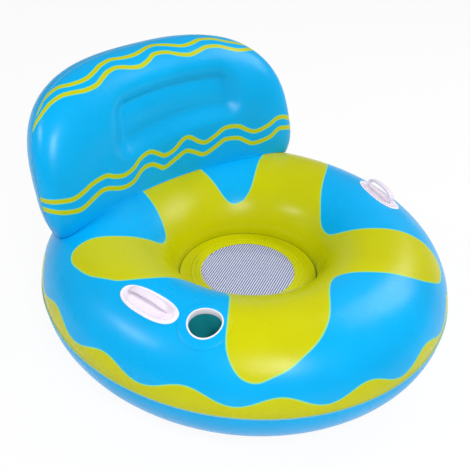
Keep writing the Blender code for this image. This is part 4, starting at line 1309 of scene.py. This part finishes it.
CUP_RADIUS = 0.0342
COLLAR_WALL = 0.0008
COLLAR_HEIGHT = 0.0105
COLLAR_LAP = 0.0055
COLLAR_ROUND = 0.00025
RIM_WIDTH = 0.0014
RIM_THICKNESS = 0.0012
DOUBLER_RADIUS = CUP_HOLE_RADIUS + 0.0200
DOUBLER_BEVEL = 0.0006
SLEEVE_DEPTH = 0.09
SLEEVE_WAIST = 0.0007
BASE_DOME = 0.0022
CUP_STEPS = 128
doubler_low = 2 * GAP
doubler_top = doubler_low + FILM
rim_low = doubler_top + GAP
rim_top = rim_low + RIM_THICKNESS


def hang_in_ring(bm, name, floor=None):
    """Move a turned shape to the cup's axis; heights follow the ring above it."""
    mesh = as_mesh(name, bm)
    x, y, z = get_points(mesh).T
    top = ring_top(cup_x + x, cup_y + y)
    height = top + z
    if floor is not None:
        share = np.clip(z / floor, 0, 1)
        height = top * (1 - share) + cup_floor * share + z * (1 - share)
    set_points(mesh, np.stack([cup_x + x, cup_y + y, height], 1))
    return mesh


def wall(reaches, heights, thickness, sideways):
    """Section of a thin wall; sideways thickens it outwards, else upwards."""
    inside = list(zip(reaches, heights))
    return inside + [
        (r + thickness * sideways, h + thickness * (not sideways)) for r, h in inside[::-1]]


mesh = hang_in_ring(turned([
    (CUP_HOLE_RADIUS, doubler_low), (DOUBLER_RADIUS, doubler_low),
    (DOUBLER_RADIUS, doubler_low + FILM * 0.4), (DOUBLER_RADIUS - DOUBLER_BEVEL, doubler_top),
    ((CUP_HOLE_RADIUS + DOUBLER_RADIUS) / 2, doubler_top), (CUP_HOLE_RADIUS, doubler_top)],
    CUP_STEPS), "cup_doubler_film")
x, y, z = get_points(mesh).T
turn = np.arctan2(y - seat_y, x)
middle, half = tube_at(turn)
lift = np.arccos(np.clip((np.hypot(x, y - seat_y) - middle) / half, -1, 1))
store(mesh, "lobes", lobe_print(turn, lift))
store(mesh, "border", border_print(turn, lift))
add_piece("cup_doubler_film", mesh, ring_print, "ring", ["cup_doubler"])

inner, outer = CUP_RADIUS, CUP_RADIUS + COLLAR_WALL
rim_outer = CUP_HOLE_RADIUS + RIM_WIDTH
bm = turned([
    (inner, rim_top - COLLAR_WALL), (inner, -COLLAR_HEIGHT / 2), (inner, -COLLAR_HEIGHT),
    (outer, -COLLAR_HEIGHT), (outer, -COLLAR_HEIGHT / 2), (outer, rim_low),
    (rim_outer, rim_low), (rim_outer, rim_top - COLLAR_WALL), (rim_outer - COLLAR_WALL, rim_top),
    (inner + COLLAR_WALL, rim_top)], CUP_STEPS)
soften(bm, COLLAR_ROUND)
add_piece("cup_collar_moulding", hang_in_ring(bm, "cup_collar_moulding"), white_film, "ring",
          ["cup_collar"])

rows = np.linspace(0, 1, 24)
heights = COLLAR_LAP - COLLAR_HEIGHT - (SLEEVE_DEPTH + COLLAR_LAP - COLLAR_HEIGHT) * rows
section = wall(SLEEVE_INNER - SLEEVE_WAIST * np.sin(np.pi * rows), heights, FILM, True)
mesh = hang_in_ring(turned(section, CUP_STEPS), "cup_sleeve_film", -SLEEVE_DEPTH)
add_piece("cup_sleeve_film", mesh, teal_film, "ring", ["cup_sleeve"])

rows = np.linspace(0, 1, 16)
section = wall(
    rows * (cup_high.x - cup_low.x) / 2, cup_floor + BASE_DOME * (1 - rows ** 2), COLLAR_WALL,
    False)
add_piece("cup_base_film", as_mesh("cup_base_film", turned(section, CUP_STEPS, (cup_x, cup_y, 0))),
          teal_film, "ring", ["cup_base"])

# %% [markdown]
# ## Valves
# Each air chamber has its own valve of soft clear PVC: a welded base, a stem that pushes in
# flush, a plug with a round head and a small check flap inside. All four are turned about
# the valve's axis; the flap, a thin disc, hangs at its edge.

# %% Valves
STEM_RADIUS = 0.0060
STEM_BORE = 0.0046
FLAP_THICKNESS = 0.0006
FLAP_DROP = 0.0093
VALVE_STEPS = 48
VALVE_ROUND = 0.00015
VALVE_FRAMES = {
    "ring": frame_matrix(RING_VALVE_SPOT, (-0.5796, -0.08333, 0.81063), RING_VALVE_AXIS),
    "backrest": frame_matrix(PILLOW_VALVE_SPOT, (0.05168, 0.11482, 0.99204), PILLOW_VALVE_AXIS),
}
VALVE_SECTIONS = {
    "base": (
        (0.0096, -0.006), (0.0112, -0.006), (0.0112, 0.0003), (0.0170, 0.0003),
        (0.0170, 0.0008), (0.0160, 0.0013), (0.0118, 0.0013), (0.0112, 0.0017),
        (0.0102, 0.0017), (0.0096, 0.0013)),
    "stem": (
        (STEM_BORE, -0.009), (STEM_RADIUS, -0.009), (STEM_RADIUS, -0.0022), (0.0093, -0.0022),
        (0.0093, -0.0014), (STEM_RADIUS, -0.0014), (STEM_RADIUS, 0.0015), (STEM_BORE, 0.0015)),
    "plug": (
        (0.0, -0.005), (0.0035, -0.005), (0.0043, -0.0042), (0.0043, 0.0018),
        (0.0080, 0.0018), (0.0080, 0.0026), (0.0072, 0.0034), (0.0050, 0.0034),
        (0.0040, 0.0030), (0.0, 0.0030)),
    "flap": (
        (0, -FLAP_DROP - FLAP_THICKNESS), (STEM_RADIUS, -FLAP_DROP - FLAP_THICKNESS),
        (STEM_RADIUS, -FLAP_DROP), (0, -FLAP_DROP)),
}
for valve in ("ring", "backrest"):
    for part, section in VALVE_SECTIONS.items():
        bm = turned(section, VALVE_STEPS)
        if part != "flap":
            soften(bm, VALVE_ROUND)
        bmesh.ops.transform(bm, matrix=VALVE_FRAMES[valve], verts=bm.verts)
        name = f"{valve}_valve_{part}_moulding"
        body = valve if part == "base" else f"{valve}_{part}"
        add_piece(name, as_mesh(name, bm), clear_plastic, body,
                  [f"{valve}_valve_{part}"])

# %% [markdown]
# ## Floor and light
# The lounge stands on a white floor. Three soft boxes light it, placed by where their
# reflections lie on the glossy film: a bright one in front, a large one to the right and a
# long narrow one on the left. The world is an even dim grey, so the film's upper side
# keeps its deep colour. To the camera, and in reflections, the floor glows partly by itself,
# which keeps the background white while the object's shadow still shows on it.

# %% Floor and world
FLOOR_GLOW = 0.93
FLOOR_HALF_SIZE = 40.0
FLOOR_DROP = 0.0006
PAPER_GRAIN = 1 / 300
floor_finish, tree, shader = new_finish("matt_white_paper_floor")
paper = remap(tree, noise(tree, PAPER_GRAIN, 2.0), (0.0, 1.0), (0.97, 0.99))
feed(tree, shader, {"Roughness": 0.9, "Base Color": paper})
path = add_node(tree, "ShaderNodeLightPath")
seen = path.outputs["Is Camera Ray"]
for ray in ("Is Glossy Ray", "Is Transmission Ray"):
    seen = add_node(tree, "ShaderNodeMath", {
        0: seen, 1: path.outputs[ray]}, operation="MAXIMUM").outputs[0]
glow = add_node(tree, "ShaderNodeMath", {0: seen, 1: FLOOR_GLOW}, operation="MULTIPLY")
white = add_node(tree, "ShaderNodeEmission", {"Color": (1, 1, 1, 1), "Strength": 1.0})
both = add_node(tree, "ShaderNodeMixShader", {
    0: glow.outputs[0], 1: shader.outputs[0], 2: white.outputs[0]})
feed(tree, tree.nodes["Material Output"], {"Surface": both.outputs[0]})
bm = bmesh.new()
bmesh.ops.create_grid(bm, x_segments=1, y_segments=1, size=FLOOR_HALF_SIZE)
bmesh.ops.translate(bm, verts=bm.verts, vec=(0, 0, -FLOOR_DROP))
floor = bpy.data.objects.new("studio_floor", as_mesh("studio_floor", bm))
floor.data.materials.append(floor_finish)
bpy.context.scene.collection.objects.link(floor)

WORLD_LEVEL = 0.26
world = bpy.data.worlds.new("grey_studio")
bpy.context.scene.world = world
world.use_nodes = True
tree = world.node_tree
tree.nodes.clear()
studio = add_node(tree, "ShaderNodeBackground", {
    "Color": (1, 1, 1, 1), "Strength": WORLD_LEVEL})
add_node(tree, "ShaderNodeOutputWorld", {"Surface": studio.outputs[0]})

# %% Soft boxes
LIGHTS = (
    # name, azimuth, elevation, distance, width, height, power
    ("left_soft_box", -110, 39, 2.6, 0.8, 0.16, 16),
    ("right_soft_box", 82, 43, 2.6, 1.3, 1.3, 28),
    ("front_soft_box", -26, 45, 2.6, 0.6, 0.8, 36),
)
LIGHT_AIM = Vector((0, 0, 0.2))


def towards(azimuth, elevation):
    """Direction from the object to a place in the studio, in degrees; azimuth 0 is -Y."""
    a, e = math.radians(azimuth), math.radians(elevation)
    return Vector((math.sin(a) * math.cos(e), -math.cos(a) * math.cos(e), math.sin(e)))


for name, azimuth, elevation, distance, width, height, power in LIGHTS:
    lamp = bpy.data.lights.new(name, "AREA")
    lamp.shape = "RECTANGLE"
    lamp.size, lamp.size_y, lamp.energy = width, height, power
    box = bpy.data.objects.new(name, lamp)
    box.location = LIGHT_AIM + towards(azimuth, elevation) * distance
    box.rotation_mode = "QUATERNION"
    box.rotation_quaternion = towards(azimuth, elevation).to_track_quat("Z", "Y")
    bpy.context.scene.collection.objects.link(box)

# %% [markdown]
# ## Camera
# The camera stands where the photographer's did: ahead and to the left of the lounge,
# looking down at 34 degrees. Its place, lens and small roll were fitted to the outline of
# the ring, the seat and the pillow in the photo.

# %% Camera
CAMERA_AZIMUTH = -40
CAMERA_ELEVATION = 33.997
CAMERA_ROLL = 1.039
CAMERA_DISTANCE = 1.8868
AIM_RIGHT, AIM_UP, AIM_HEIGHT = -0.0330, 0.1201, 0.1
FOCAL_PIXELS, FRAME_PIXELS, SENSOR = 758.29, 470, 36.0

back = towards(CAMERA_AZIMUTH, CAMERA_ELEVATION)
right = towards(CAMERA_AZIMUTH + 90, 0)
up = back.cross(right)
roll = Matrix.Rotation(math.radians(CAMERA_ROLL), 3, back)
target = right * AIM_RIGHT + up * AIM_UP + Vector((0, seat_y, AIM_HEIGHT))
lens = bpy.data.cameras.new("camera")
lens.sensor_width = SENSOR
lens.lens = FOCAL_PIXELS * SENSOR / FRAME_PIXELS
camera = bpy.data.objects.new("camera", lens)
camera.matrix_world = (
    Matrix.Translation(target + back * CAMERA_DISTANCE)
    @ Matrix((roll @ right, roll @ up, back)).transposed().to_4x4())
bpy.context.scene.collection.objects.link(camera)
bpy.context.scene.camera = camera
bpy.context.scene.view_settings.view_transform = "Standard"
print("lens", round(lens.lens, 2), "mm")
